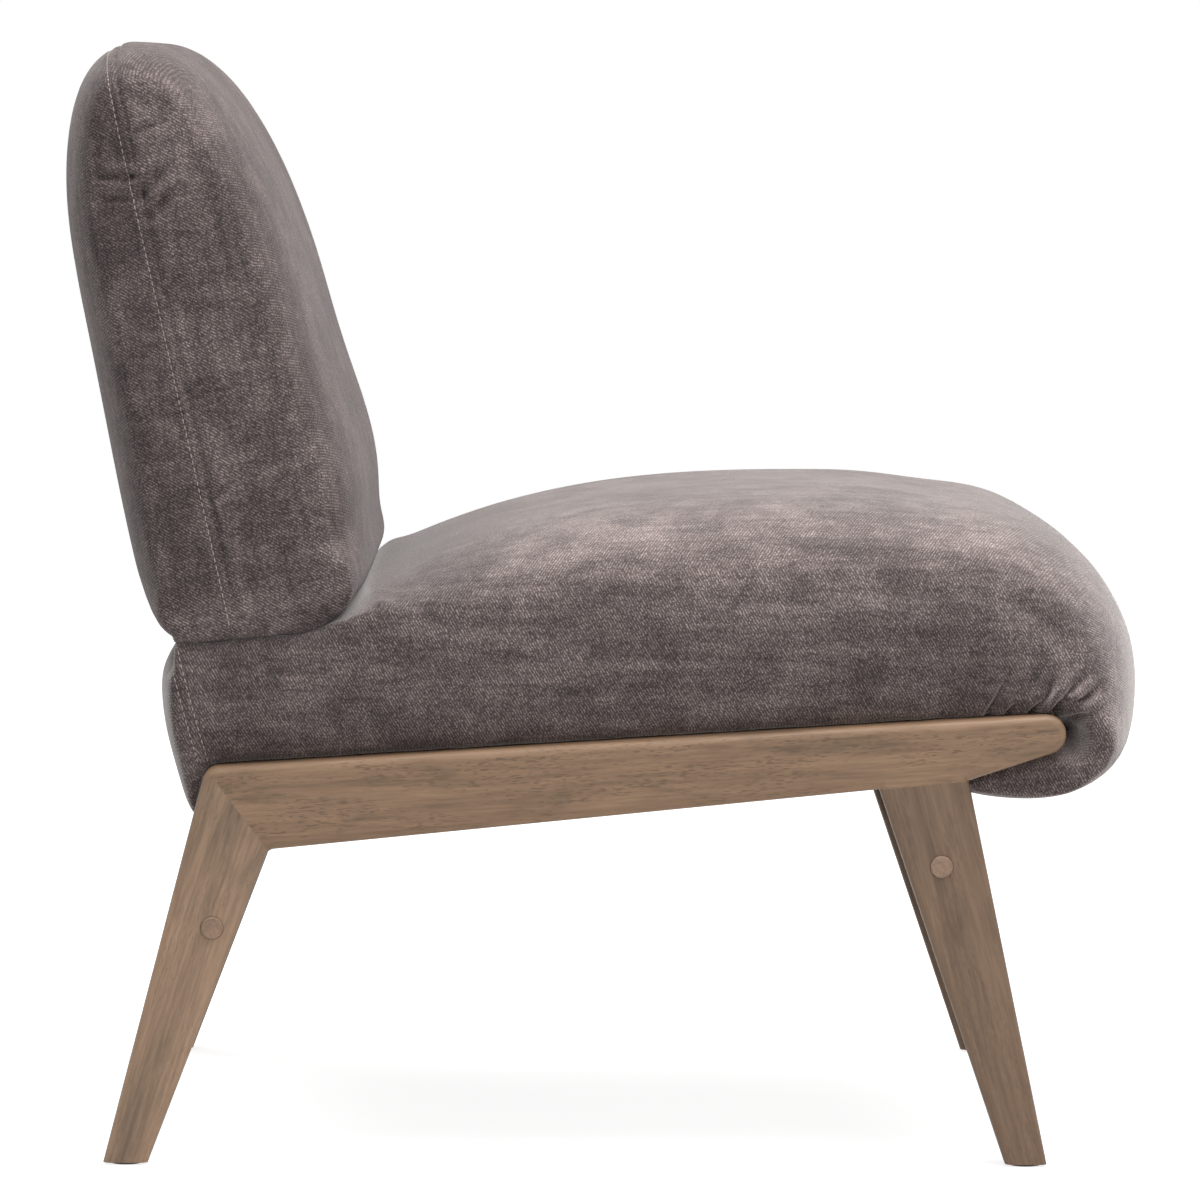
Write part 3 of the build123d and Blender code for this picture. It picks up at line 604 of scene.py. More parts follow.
def refine(obj, chosen):
    """Halves the mesh spacing where chosen is set, and rounds what is new."""
    fine = bmesh.new()
    fine.from_mesh(obj.data)
    edges = [e for e in fine.edges if all(chosen[v.index] for v in e.verts)]
    bmesh.ops.subdivide_edges(fine, edges=edges, cuts=1, use_grid_fill=True)
    fine.to_mesh(obj.data)
    fine.free()
    co = positions(obj.data)
    for axis in range(3):
        co[:, axis] = neighbour_mean(obj.data, co[:, axis], 1)
    place_points(obj.data, co)


def line_distance(points, knots):
    """Signed distance of side view points from an open line, the share of its length and the normal there."""
    best = np.full(len(points), np.inf)
    signed, share = np.zeros(len(points)), np.zeros(len(points))
    normal = np.zeros((len(points), 2))
    knots = np.array(knots)
    lengths = np.linalg.norm(np.diff(knots, axis=0), axis=1)
    before = 0.0
    for a, b, length in zip(knots, knots[1:], lengths):
        run = (b - a) / length
        along = np.clip((points - a) @ run, 0, length)
        away = points - a - along[:, None] * run
        gap = np.linalg.norm(away, axis=1)
        closer = gap < best
        best[closer] = gap[closer]
        signed[closer] = np.copysign(gap, run[1] * away[:, 0] - run[0] * away[:, 1])[closer]
        share[closer] = ((before + along) / lengths.sum())[closer]
        normal[closer] = (run[1], -run[0])
        before += length
    return signed, share, normal


def close_crease(mesh, side):
    """Brings the seat's top (side -1) or the back's underside (side 1) to the line where they meet."""
    points, out = positions(mesh), normals(mesh)
    signed, share, normal = line_distance(points[:, 1:], CREASE)
    facing = -side * np.einsum("ij,ij->i", out[:, 1:], normal)
    near = (np.abs(signed) < CREASE_REACH[1]) & (share > 0)
    weight = near * smooth_step(*CREASE_FACING, facing) * (1 - smooth_step(*CREASE_ENDS[side], share))
    weight *= 1 - smooth_step(*CREASE_REACH, np.abs(signed))
    points[:, 1:] += normal * (weight * (side * CREASE_GAP - signed))[:, None]
    signed, share, _ = line_distance(points[:, 1:], CREASE)
    groove = CREASE_GROOVE * np.exp(-np.abs(signed) / CREASE_GROOVE_REACH)
    groove *= 1 - smooth_step(*CREASE_ENDS[side], share)
    push_in(points, groove * on_panels(points, TUCK_FULL))
    place_points(mesh, points)


def crease_depth(points, creases):
    """How deep creases drawn in the side view press into both sides of the chair."""
    depth = np.zeros(len(points))
    beside = on_panels(points, CREASE_FULL)
    for width, deep, lip, *knots in creases:
        signed, share, _ = line_distance(points[:, 1:], knots)
        fade = 1 - smooth_step(*CREASE_FADE, share)
        ridges = bell(np.abs(signed) - CREASE_LIP_AT * width, width)
        depth += beside * fade * (deep * bell(signed, width) - lip * ridges)
    return depth


def press(mesh, depth):
    """Moves the cover inwards by depth."""
    place_points(mesh, positions(mesh) - normals(mesh) * depth[:, None])


def plane_section(mesh, origin, way, keep):
    """Points and outward normals where a plane across the chair cuts the mesh, in order round it."""
    co, out = positions(mesh), normals(mesh)
    a, b = edge_ends(mesh)
    side = (co[:, 1:] - origin) @ way
    crossing = side[a] * side[b] < 0
    a, b = a[crossing], b[crossing]
    share = (side[a] / (side[a] - side[b]))[:, None]
    points = co[a] + share * (co[b] - co[a])
    outward = out[a] + share * (out[b] - out[a])
    rise = points[:, 1:] @ np.array((-way[1], way[0]))
    wanted = keep(points)
    points, outward, rise = points[wanted], outward[wanted], rise[wanted]
    middle = (rise.min() + rise.max()) / 2
    order = np.argsort(np.arctan2(points[:, 0], (rise - middle) * np.sign(way[0] + 1e-9)))
    points, outward = points[order], outward[order]
    spaced = [0]
    for i in range(1, len(points)):
        if np.linalg.norm(points[i] - points[spaced[-1]]) > STITCH_LINE_STEP:
            spaced.append(i)
    points, outward = points[spaced], outward[spaced]
    outward /= np.linalg.norm(outward, axis=1)[:, None]
    return points, outward


def subdivide(obj):
    finer = obj.modifiers.new("finer", "SUBSURF")
    finer.levels = finer.render_levels = 1
    settle(obj)


def shade_smooth(mesh):
    mesh.polygons.foreach_set("use_smooth", np.ones(len(mesh.polygons), bool))


def fill(made, values):
    """Sets a node's own values by their names."""
    for name, value in values.items():
        made.inputs[name].default_value = value


def feed(tree, socket, value):
    """Links an output to the socket, or sets the socket's own value."""
    if isinstance(value, bpy.types.NodeSocket):
        tree.links.new(value, socket)
    else:
        socket.default_value = value


def math(tree, operation, *values, clamp=False):
    """A Math node whose inputs are numbers or outputs. Returns its output."""
    made = tree.nodes.new("ShaderNodeMath")
    made.operation = operation
    made.use_clamp = clamp
    for socket, value in zip(made.inputs, values):
        feed(tree, socket, value)
    return made.outputs[0]


def stretch(tree, vector, shares):
    """The vector multiplied, part by part, by numbers or another vector."""
    made = tree.nodes.new("ShaderNodeVectorMath")
    made.operation = "MULTIPLY"
    feed(tree, made.inputs[0], vector)
    feed(tree, made.inputs[1], shares)
    return made.outputs[0]


def parts(tree, vector):
    """The vector's X, Y and Z outputs."""
    made = tree.nodes.new("ShaderNodeSeparateXYZ")
    tree.links.new(vector, made.inputs[0])
    return made.outputs


def noise(tree, vector, scale, detail=2.0, roughness=0.5, distortion=0.0):
    made = tree.nodes.new("ShaderNodeTexNoise")
    fill(made, {"Scale": scale, "Detail": detail, "Roughness": roughness, "Distortion": distortion})
    tree.links.new(vector, made.inputs["Vector"])
    return made.outputs["Fac"]


def ramp(tree, value, low, high, low_out=0.0, high_out=1.0):
    made = tree.nodes.new("ShaderNodeMapRange")
    made.interpolation_type = "SMOOTHSTEP"
    fill(made, {"From Min": low, "From Max": high, "To Min": low_out, "To Max": high_out})
    tree.links.new(value, made.inputs["Value"])
    return made.outputs["Result"]


def mix_colour(tree, share, a, b, blend="MIX"):
    """A Mix node of two colours, each a tuple or an output. Returns its output."""
    made = tree.nodes.new("ShaderNodeMix")
    made.data_type = "RGBA"
    made.blend_type = blend
    feed(tree, made.inputs[0], share)
    for socket, colour in ((made.inputs[6], a), (made.inputs[7], b)):
        feed(tree, socket, (*colour, 1.0) if isinstance(colour, tuple) else colour)
    return made.outputs[2]


def tint(tree, colour, by):
    return mix_colour(tree, 1.0, colour, by, "MULTIPLY")


def scaled(colour, share):
    return tuple(min(1.0, c * share) for c in colour)


def shades(tree, share, colour, dark, light):
    """A colour between two shares of itself."""
    return mix_colour(tree, share, scaled(colour, dark), scaled(colour, light))


def greys(tree, share, dark, light):
    """A grey to tint with, between two levels that may pass 1."""
    return mix_colour(tree, share, (dark,) * 3, (light,) * 3)


def group_tree(name, vectors, numbers, outputs):
    """A shader node group with vector and number inputs and number outputs, and its two ends."""
    tree = bpy.data.node_groups.new(name, "ShaderNodeTree")
    for title in vectors:
        tree.interface.new_socket(name=title, in_out="INPUT", socket_type="NodeSocketVector")
    for title, default in numbers.items():
        socket = tree.interface.new_socket(name=title, in_out="INPUT", socket_type="NodeSocketFloat")
        socket.default_value = default
    for title in outputs:
        tree.interface.new_socket(name=title, in_out="OUTPUT", socket_type="NodeSocketFloat")
    return tree, tree.nodes.new("NodeGroupInput").outputs, tree.nodes.new("NodeGroupOutput").inputs


def weave_group(name):
    """Diagonal twill on every face of a cushion, blended by where the face looks.

    Crown is 1 off the side panels."""
    outputs = ("Height", "Fleck", "Crown")
    tree, given, result = group_tree(name, ("Vector", "Normal"), {"Rib": 0.002}, outputs)
    point = given["Vector"]
    squared = stretch(tree, given["Normal"], given["Normal"])
    weights = parts(tree, stretch(tree, squared, squared))
    wave_scale = math(tree, "DIVIDE", 2 * pi / 10 / 2**0.5, given["Rib"])
    total, weight_sum = 0.0, 0.0
    for weight, plane in zip(weights, ((0.0, 1.0, -1.0), (0.35, 0.0, 1.25), (0.35, 1.25, 0.0))):
        bands = tree.nodes.new("ShaderNodeTexWave")
        bands.wave_type = "BANDS"
        bands.bands_direction = "DIAGONAL"
        bands.wave_profile = "SIN"
        fill(bands, {"Distortion": 3.2, "Detail": 2.0, "Detail Scale": 0.9, "Detail Roughness": 0.6})
        tree.links.new(stretch(tree, point, plane), bands.inputs["Vector"])
        tree.links.new(wave_scale, bands.inputs["Scale"])
        total = math(tree, "MULTIPLY_ADD", bands.outputs["Fac"], weight, total)
        weight_sum = math(tree, "ADD", weight, weight_sum)
    ribs = math(tree, "DIVIDE", total, math(tree, "MAXIMUM", weight_sum, 0.001))
    breaks = ramp(tree, noise(tree, point, 600.0, 1.0), 0.36, 0.64)
    height = math(tree, "MULTIPLY", ramp(tree, ribs, 0.15, 0.85), breaks)
    turned = math(tree, "MULTIPLY", ramp(tree, weights[0], 0.08, 0.0), 0.65)
    crown = math(tree, "MULTIPLY_ADD", ramp(tree, weights[0], 0.90, 0.02), 0.35, turned)
    # On the crown the ribs keep three quarters of their height about this middle
    middle = 0.3
    softer = math(tree, "MULTIPLY_ADD", crown, -0.25, 1.0)
    height = math(tree, "MULTIPLY_ADD", math(tree, "SUBTRACT", height, middle), softer, middle)
    tree.links.new(height, result["Height"])
    tree.links.new(ramp(tree, noise(tree, point, 900.0, 1.0, 0.6), 0.36, 0.64), result["Fleck"])
    tree.links.new(crown, result["Crown"])
    return tree


def crush_group(name):
    """Cloudy patches and slubs of a crushed pile. Most slubs run along Z of the vector, a few along Y."""
    tree, given, result = group_tree(name, ("Vector",), {"Streak": 0.5}, ("Shade", "Slub"))
    point = given["Vector"]
    clouds = noise(tree, point, 13.0, 5.0, 0.62, 0.5)
    patches = noise(tree, point, 48.0, 4.0, 0.66, 0.3)
    long = noise(tree, stretch(tree, point, (1.0, 1.0, 0.09)), 150.0, 3.0, 0.62)
    cross = noise(tree, stretch(tree, point, (1.0, 0.09, 1.0)), 210.0, 2.0, 0.6)
    mixed = math(tree, "MULTIPLY_ADD", clouds, 0.55, math(tree, "MULTIPLY", patches, 0.45))
    tree.links.new(ramp(tree, mixed, 0.38, 0.62), result["Shade"])
    share = tree.nodes.new("ShaderNodeMix")
    share.data_type = "FLOAT"
    for i, value in ((0, given["Streak"]), (2, cross), (3, long)):
        tree.links.new(value, share.inputs[i])
    tree.links.new(ramp(tree, share.outputs[0], 0.38, 0.62), result["Slub"])
    return tree


def grain_group(name):
    """Wood along Z of the vector: long streaks, growth bands, short dark pores and broad darker stains."""
    outputs = ("Streak", "Band", "Pore", "Stain")
    tree, given, result = group_tree(name, ("Vector",), {"Pores": 0.6}, outputs)

    def along(share, *settings):
        return noise(tree, stretch(tree, given["Vector"], (1.0, 1.0, share)), *settings)

    cells = ramp(tree, along(0.16, 1150.0, 0.0, 0.5), 0.60, 0.68)
    pore = math(tree, "MULTIPLY", cells, ramp(tree, along(0.25, 48.0, 2.0), 0.36, 0.60))
    tree.links.new(along(0.06, 420.0, 3.0, 0.62), result["Streak"])
    tree.links.new(along(0.10, 55.0, 4.0, 0.58, 0.6), result["Band"])
    tree.links.new(math(tree, "MULTIPLY", pore, given["Pores"]), result["Pore"])
    tree.links.new(ramp(tree, along(0.30, 36.0, 4.0, 0.6, 0.4), 0.50, 0.72), result["Stain"])
    return tree


def edge_group(name):
    """How rounded the wood is here, from the share of its normal that looks sideways."""
    tree, given, result = group_tree(name, ("Normal",), {}, ("Edge",))
    sideways = parts(tree, given["Normal"])[0]
    square = math(tree, "MULTIPLY", sideways, sideways)
    both = math(tree, "MULTIPLY", square, math(tree, "SUBTRACT", 1.0, square))
    tree.links.new(math(tree, "MULTIPLY", both, 4.0, clamp=True), result["Edge"])
    return tree


SHARED_GROUPS = {
    "twill weave": weave_group,
    "crushed pile": crush_group,
    "washed grain": grain_group,
    "eased edge": edge_group,
}


def use_group(tree, name, **inputs):
    """Places a shared group, which is built the first time, and returns its outputs."""
    made = tree.nodes.new("ShaderNodeGroup")
    made.node_tree = bpy.data.node_groups.get(name) or SHARED_GROUPS[name](name)
    for title, value in inputs.items():
        feed(tree, made.inputs[title], value)
    return made.outputs


def new_material(name):
    material = bpy.data.materials.new(name)
    material.use_nodes = True
    tree = material.node_tree
    return material, tree, tree.nodes["Principled BSDF"]


def object_vector(tree, turn=(0.0, 0.0, 0.0)):
    """Object coordinates turned about the axes, and the node that they come from."""
    coordinates = tree.nodes.new("ShaderNodeTexCoord")
    mapping = tree.nodes.new("ShaderNodeMapping")
    mapping.vector_type = "POINT"
    mapping.inputs["Rotation"].default_value = turn
    tree.links.new(coordinates.outputs["Object"], mapping.inputs["Vector"])
    return mapping.outputs["Vector"], coordinates


def bump(tree, shader, height, strength, distance):
    made = tree.nodes.new("ShaderNodeBump")
    fill(made, {"Strength": strength, "Distance": distance})
    tree.links.new(height, made.inputs["Height"])
    tree.links.new(made.outputs["Normal"], shader.inputs["Normal"])


def cover_material(name, looks, turn, bias, streak, sheen, crown_highlight, back_shade_share=1.0):
    """Chenille twill with a crushed pile. Streaks run along the turned Z, ribs lie at 45 degrees and bias.

    The pile is painted lighter off the side panels by the given factor, a painted highlight where light falls
    on the crown. Beside the back only the given share of that is kept, a painted shade where the back shades
    the seat, darker still below zero."""
    material, tree, shader = new_material(name)
    vector, coordinates = object_vector(tree, (turn, 0, 0))
    ribbed, _ = object_vector(tree, (bias, 0, 0))
    normal = coordinates.outputs["Normal"]
    weave = use_group(tree, "twill weave", Vector=ribbed, Normal=normal, Rib=looks.rib_spacing)
    crush = use_group(tree, "crushed pile", Vector=vector, Streak=streak)
    # Painted shade beside the back: there the crown's painted highlight keeps only the given share, below
    # zero a darker pile
    out_of_back_shade = ramp(tree, parts(tree, coordinates.outputs["Object"])[1], 0.17, 0.02, back_shade_share, 1.0)
    cloth = shades(tree, crush["Shade"], tuple(looks.cover_colour), 0.74, 1.28)
    for layer in (
        greys(tree, crush["Slub"], 0.83, 1.17),
        mix_colour(tree, weave["Height"], (0.64, 0.63, 0.64), (1.88, 1.90, 1.80)),
        greys(tree, weave["Fleck"], 0.78, 1.24),
        # Painted highlight: the crown is painted lighter where light falls on it, and darker beside the back
        # as painted shade
        greys(tree, math(tree, "MULTIPLY", weave["Crown"], out_of_back_shade), 1.0, crown_highlight),
    ):
        cloth = tint(tree, cloth, layer)
    tree.links.new(cloth, shader.inputs["Base Color"])
    fill(shader, {"Roughness": 0.95, "Specular IOR Level": 0.15, "Sheen Weight": sheen})
    fill(shader, {"Sheen Roughness": 0.35, "Sheen Tint": (*looks.sheen_colour, 1.0)})
    relief = math(tree, "MULTIPLY_ADD", weave["Fleck"], 0.4, weave["Height"])
    bump(tree, shader, relief, 0.5, 0.0005)
    return material


def wood_material(name, turn, colour, pores, top=1.0):
    """Washed wood whose grain runs along the turned Z.

    top scales the colour of a leg near the rail."""
    material, tree, shader = new_material(name)
    vector, coordinates = object_vector(tree, turn)
    grain = use_group(tree, "washed grain", Vector=vector, Pores=pores)
    edge = use_group(tree, "eased edge", Normal=coordinates.outputs["Normal"])
    base = tuple(colour)
    streaked = shades(tree, ramp(tree, grain["Streak"], 0.3, 0.7), base, 0.72, 1.27)
    banded = shades(tree, ramp(tree, grain["Band"], 0.35, 0.65), base, 0.70, 1.27)
    body = mix_colour(tree, 0.5, streaked, banded)
    stained = mix_colour(tree, grain["Stain"], body, tint(tree, body, (0.66, 0.68, 0.70)))
    pored = mix_colour(tree, grain["Pore"], stained, scaled(base, 0.46))
    if top != 1.0:
        near_rail = ramp(tree, parts(tree, coordinates.outputs["Object"])[2], *LEG_TOP_HEIGHTS)
        pored = tint(tree, pored, greys(tree, near_rail, 1.0, top))
    # Painted highlight: rounded edges are painted lighter where light catches them
    edge_highlight = math(tree, "MULTIPLY", edge["Edge"], 0.22)
    tree.links.new(mix_colour(tree, edge_highlight, pored, scaled(base, 1.5)), shader.inputs["Base Color"])
    tree.links.new(ramp(tree, grain["Streak"], 0.2, 0.8, 0.52, 0.42), shader.inputs["Roughness"])
    shader.inputs["Specular IOR Level"].default_value = 0.35
    streaks = math(tree, "MULTIPLY", grain["Streak"], 0.4)
    bump(tree, shader, math(tree, "MULTIPLY_ADD", grain["Pore"], -0.8, streaks), 0.35, 0.0004)
    return material


def thread_material(looks):
    """Twisted light thread."""
    material, tree, shader = new_material("light thread")
    vector, _ = object_vector(tree)
    fibre = noise(tree, vector, 1800.0, 2.0, 0.6)
    tree.links.new(shades(tree, fibre, tuple(looks.colour), 0.7, 1.25), shader.inputs["Base Color"])
    fill(shader, {"Roughness": 0.75, "Sheen Weight": 0.2})
    bump(tree, shader, fibre, 0.3, 0.0002)
    return material


def speckled_material(name, colour, scale, roughness, spread=0.25, metallic=0.0):
    """A plain finish with a fine grain of its own, for small and hidden parts."""
    material, tree, shader = new_material(name)
    vector, _ = object_vector(tree)
    grain = noise(tree, vector, scale, 3.0, 0.6)
    toned = shades(tree, ramp(tree, grain, 0.3, 0.7), colour, 1 - spread, 1 + spread)
    tree.links.new(toned, shader.inputs["Base Color"])
    rough = ramp(tree, grain, 0.3, 0.7, roughness - 0.06, roughness + 0.06)
    tree.links.new(rough, shader.inputs["Roughness"])
    shader.inputs["Metallic"].default_value = metallic
    bump(tree, shader, grain, 0.2, 0.0003)
    return material


def finish_nodes(names, material):
    for name in names.split():
        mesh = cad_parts[name].data
        mesh.materials.clear()
        mesh.materials.append(material)


class ChairWood(PropertyGroup):
    rail_colour: FloatVectorProperty(
        name="Rail colour",
        description="Washed wood of the rails",
        subtype="COLOR",
        default=(0.262, 0.163, 0.098),
    )
    rear_colour: FloatVectorProperty(
        name="Rear leg colour",
        description="Washed wood of the rear legs",
        subtype="COLOR",
        default=(0.338, 0.222, 0.145),
    )
    front_colour: FloatVectorProperty(
        name="Front leg colour",
        description="Washed wood of the front legs",
        subtype="COLOR",
        default=(0.192, 0.122, 0.078),
    )
    cap_colour: FloatVectorProperty(
        name="Cap colour",
        description="Round caps over the bolts",
        subtype="COLOR",
        default=(0.277, 0.180, 0.124),
    )
    pores: FloatProperty(
        name="Pores", description="Strength of the short dark pores", default=0.65, min=0, max=1
    )


class ChairFabric(PropertyGroup):
    cover_colour: FloatVectorProperty(
        name="Cover colour",
        description="Middle tone of the chenille",
        subtype="COLOR",
        default=(0.1345, 0.1080, 0.1058),
    )
    seat_sheen: FloatProperty(
        name="Seat sheen", description="Light pile at grazing angles", default=1.0, min=0, max=1
    )
    back_sheen: FloatProperty(
        name="Back sheen", description="Light pile at grazing angles", default=0.30, min=0, max=1
    )
    # Painted highlight on each cushion's crown: the pile off the side panels is painted this many times
    # lighter where light falls on it
    seat_crown_highlight: FloatProperty(
        name="Seat crown highlight", description="How much lighter the pile is off the side panels", default=1.8
    )
    back_crown_highlight: FloatProperty(
        name="Back crown highlight", description="How much lighter the pile is off the side panels", default=1.0
    )
    sheen_colour: FloatVectorProperty(
        name="Sheen colour",
        description="Tint of the light pile",
        subtype="COLOR",
        default=(0.86, 0.82, 0.80),
    )
    rib_spacing: FloatProperty(
        name="Rib spacing",
        description="From one twill rib to the next",
        default=0.00185,
        unit="LENGTH",
        precision=4,
    )
    voxel: FloatProperty(
        name="Mesh spacing",
        description="Mesh size of a cushion before it is refined",
        default=0.006,
        unit="LENGTH",
    )
    seat_pressure: FloatProperty(
        name="Seat pressure", description="How hard the seat is stuffed", default=4.0
    )
    back_pressure: FloatProperty(
        name="Back pressure", description="How hard the back is stuffed", default=4.0
    )
    swell: FloatProperty(
        name="Swell",
        description="The most that stuffing moves the cover",
        default=0.007,
        unit="LENGTH",
    )
    slack: FloatProperty(
        name="Slack",
        description="How much smaller a cover is before it is stuffed",
        default=0.004,
        unit="LENGTH",
    )


class ChairThread(PropertyGroup):
    colour: FloatVectorProperty(
        name="Thread colour",
        description="Light sewing thread",
        subtype="COLOR",
        default=(0.44, 0.38, 0.33),
    )
    spacing: FloatProperty(
        name="Stitch spacing",
        description="From one stitch to the next",
        default=0.0050,
        unit="LENGTH",
        precision=4,
    )
    length: FloatProperty(
        name="Stitch length",
        description="Thread that shows of a stitch",
        default=0.0036,
        unit="LENGTH",
        precision=4,
    )
    thickness: FloatProperty(
        name="Thread thickness",
        description="Diameter of the thread",
        default=0.0009,
        unit="LENGTH",
        precision=4,
    )


class ChairLining(PropertyGroup):
    thickness: FloatProperty(
        name="Lining thickness",
        description="Thickness of the lining cloth",
        default=0.0005,
        unit="LENGTH",
        precision=4,
    )
    sag: FloatProperty(
        name="Sag",
        description="How far the lining hangs in the middle",
        default=0.004,
        unit="LENGTH",
    )
    spacing: FloatProperty(
        name="Staple spacing",
        description="From one staple to the next",
        default=0.035,
        unit="LENGTH",
    )


class ChairStage(PropertyGroup):
    floor_colour: FloatVectorProperty(
        name="Floor colour",
        description="Pale studio floor",
        subtype="COLOR",
        default=(0.61, 0.61, 0.61),
    )
    key_power: FloatProperty(
        name="Key light", description="Large soft light overhead", default=95.0, unit="POWER"
    )
    fill_power: FloatProperty(
        name="Fill light",
        description="Soft lights from the viewer and from behind",
        default=40.0,
        unit="POWER",
    )
    ambient: FloatProperty(
        name="Ambient", description="Light from all round", default=0.30, min=0
    )
    focal_length: FloatProperty(
        name="Lens", description="Focal length in millimetres", default=212.1
    )


class CHAIR_OT_stage(Operator):
    """Makes the floor, the lights and the camera"""

    bl_idname = "chair.stage"
    bl_label = "Stage"

    def execute(self, context):
        scene = context.scene
        looks = scene.chair_stage
        scene.view_settings.view_transform = "Standard"
        corners = [(x * FLOOR_REACH, y * FLOOR_REACH, 0) for x, y in ((-1, -1), (1, -1), (1, 1), (-1, 1))]
        floor = new_object("floor", mesh_of("floor", corners, [(0, 1, 2, 3)]))
        floor.data.materials.append(self.floor_material(looks))
        self.make_world(scene, looks)
        for name, (power, size, place) in LIGHTS.items():
            self.make_light(name, getattr(looks, power), size, Vector(place))
        self.make_camera(scene, looks)
        return {"FINISHED"}

    def floor_material(self, looks):
        material, tree, shader = new_material("pale floor")
        fill(shader, {"Base Color": (*looks.floor_colour, 1.0), "Roughness": 0.9, "Specular IOR Level": 0.0})
        glow = tree.nodes.new("ShaderNodeEmission")
        glow.inputs["Color"].default_value = (1.0, 1.0, 1.0, 1.0)
        strength = math(tree, "MULTIPLY", self.seen_rays(tree), FLOOR_GLOW)
        tree.links.new(strength, glow.inputs["Strength"])
        both = tree.nodes.new("ShaderNodeAddShader")
        tree.links.new(shader.outputs[0], both.inputs[0])
        tree.links.new(glow.outputs[0], both.inputs[1])
        tree.links.new(both.outputs[0], tree.nodes["Material Output"].inputs["Surface"])
        return material

    def seen_rays(self, tree):
        """1 for what the camera sees, also in a reflection or through glass."""
        path = tree.nodes.new("ShaderNodeLightPath")
        either = math(tree, "MAXIMUM", path.outputs["Is Camera Ray"], path.outputs["Is Glossy Ray"])
        return math(tree, "MAXIMUM", either, path.outputs["Is Transmission Ray"])

    def make_world(self, scene, looks):
        world = bpy.data.worlds.new("studio")
        scene.world = world
        world.use_nodes = True
        tree = world.node_tree
        back = tree.nodes["Background"]
        back.inputs["Color"].default_value = (1.0, 1.0, 1.0, 1.0)
        seen = self.seen_rays(tree)
        strength = math(tree, "MULTIPLY_ADD", seen, 1.0 - looks.ambient, looks.ambient)
        tree.links.new(strength, back.inputs["Strength"])

    def make_light(self, name, power, size, place):
        lamp = bpy.data.lights.new(name, "AREA")
        lamp.energy = power
        lamp.shape = "SQUARE"
        lamp.size = size
        light = new_object(name, lamp)
        light.location = place
        light.rotation_euler = (LIGHT_TARGET - place).to_track_quat("-Z", "Y").to_euler()

    def make_camera(self, scene, looks):
        lens = bpy.data.cameras.new("camera")
        lens.sensor_width = 36.0
        lens.lens = looks.focal_length
        camera = new_object("camera", lens)
        level = cos(CAMERA_PITCH)
        ahead = Vector((level * cos(CAMERA_YAW), -level * sin(CAMERA_YAW), -sin(CAMERA_PITCH)))
        right = ahead.cross(Vector((0, 0, 1))).normalized()
        up = right.cross(ahead)
        tilted_right = right * cos(CAMERA_ROLL) + up * sin(CAMERA_ROLL)
        tilted_up = up * cos(CAMERA_ROLL) - right * sin(CAMERA_ROLL)
        turn = Matrix((tilted_right, tilted_up, -ahead)).transposed()
        camera.matrix_world = Matrix.Translation(CAMERA_PLACE) @ turn.to_4x4()
        scene.camera = camera


class CHAIR_OT_wood(Operator):
    """Finishes the rails, legs, stretchers and caps in washed wood"""

    bl_idname = "chair.wood"
    bl_label = "Wooden frame"

    def execute(self, context):
        looks = context.scene.chair_wood
        quarter = pi / 2
        fewer = looks.pores * 0.5
        along, across = (quarter + RAIL_SLOPE, 0, 0), (0, quarter, 0)
        rear, front = (REAR_GRAIN, 0, 0), (FRONT_GRAIN, 0, 0)
        finishes = {
            "side_rail_left side_rail_right": ("washed wood rail", along, looks.rail_colour, looks.pores),
            "rear_leg_left rear_leg_right": (
                "washed wood rear leg", rear, looks.rear_colour, fewer, REAR_TOP_SHADE
            ),
            "front_leg_left front_leg_right": (
                "washed wood front leg", front, looks.front_colour, fewer, FRONT_TOP_SHADE
            ),
            "front_stretcher rear_stretcher": (
                "washed wood stretcher", across, looks.front_colour, looks.pores
            ),
            "bolt_cover_caps": ("cap wood", across, looks.cap_colour, 0.2),
        }
        for names, finish in finishes.items():
            finish_nodes(names, wood_material(*finish))
        return {"FINISHED"}


class CHAIR_OT_inner_parts(Operator):
    """Finishes the fittings and the frames inside the cushions"""

    bl_idname = "chair.inner_parts"
    bl_label = "Fittings and inner frames"

    def execute(self, context):
        beech = speckled_material("plain beech", (0.58, 0.44, 0.29), 90.0, 0.6)
        zinc = speckled_material("zinc plate", (0.62, 0.62, 0.62), 300.0, 0.4, 0.1, 1.0)
        nylon = speckled_material("dark nylon", (0.035, 0.030, 0.027), 500.0, 0.5)
        strap = speckled_material("elastic webbing", (0.45, 0.40, 0.31), 700.0, 0.9)
        finishes = {
            beech: (
                "leg_dowels stretcher_dowels back_dowels seat_front_board seat_rear_board "
                "seat_side_board_left seat_side_board_right seat_corner_blocks "
                "back_post_left back_post_right back_top_rail back_bottom_rail"
            ),
            zinc: (
                "stretcher_bolts bolt_washers barrel_nuts glide_nails "
                "seat_bolts seat_bolt_washers rail_inserts post_screws"
            ),
            nylon: "foot_glides",
            strap: "seat_long_webbing seat_cross_webbing back_webbing",
        }
        for material, names in finishes.items():
            finish_nodes(names, material)
        return {"FINISHED"}


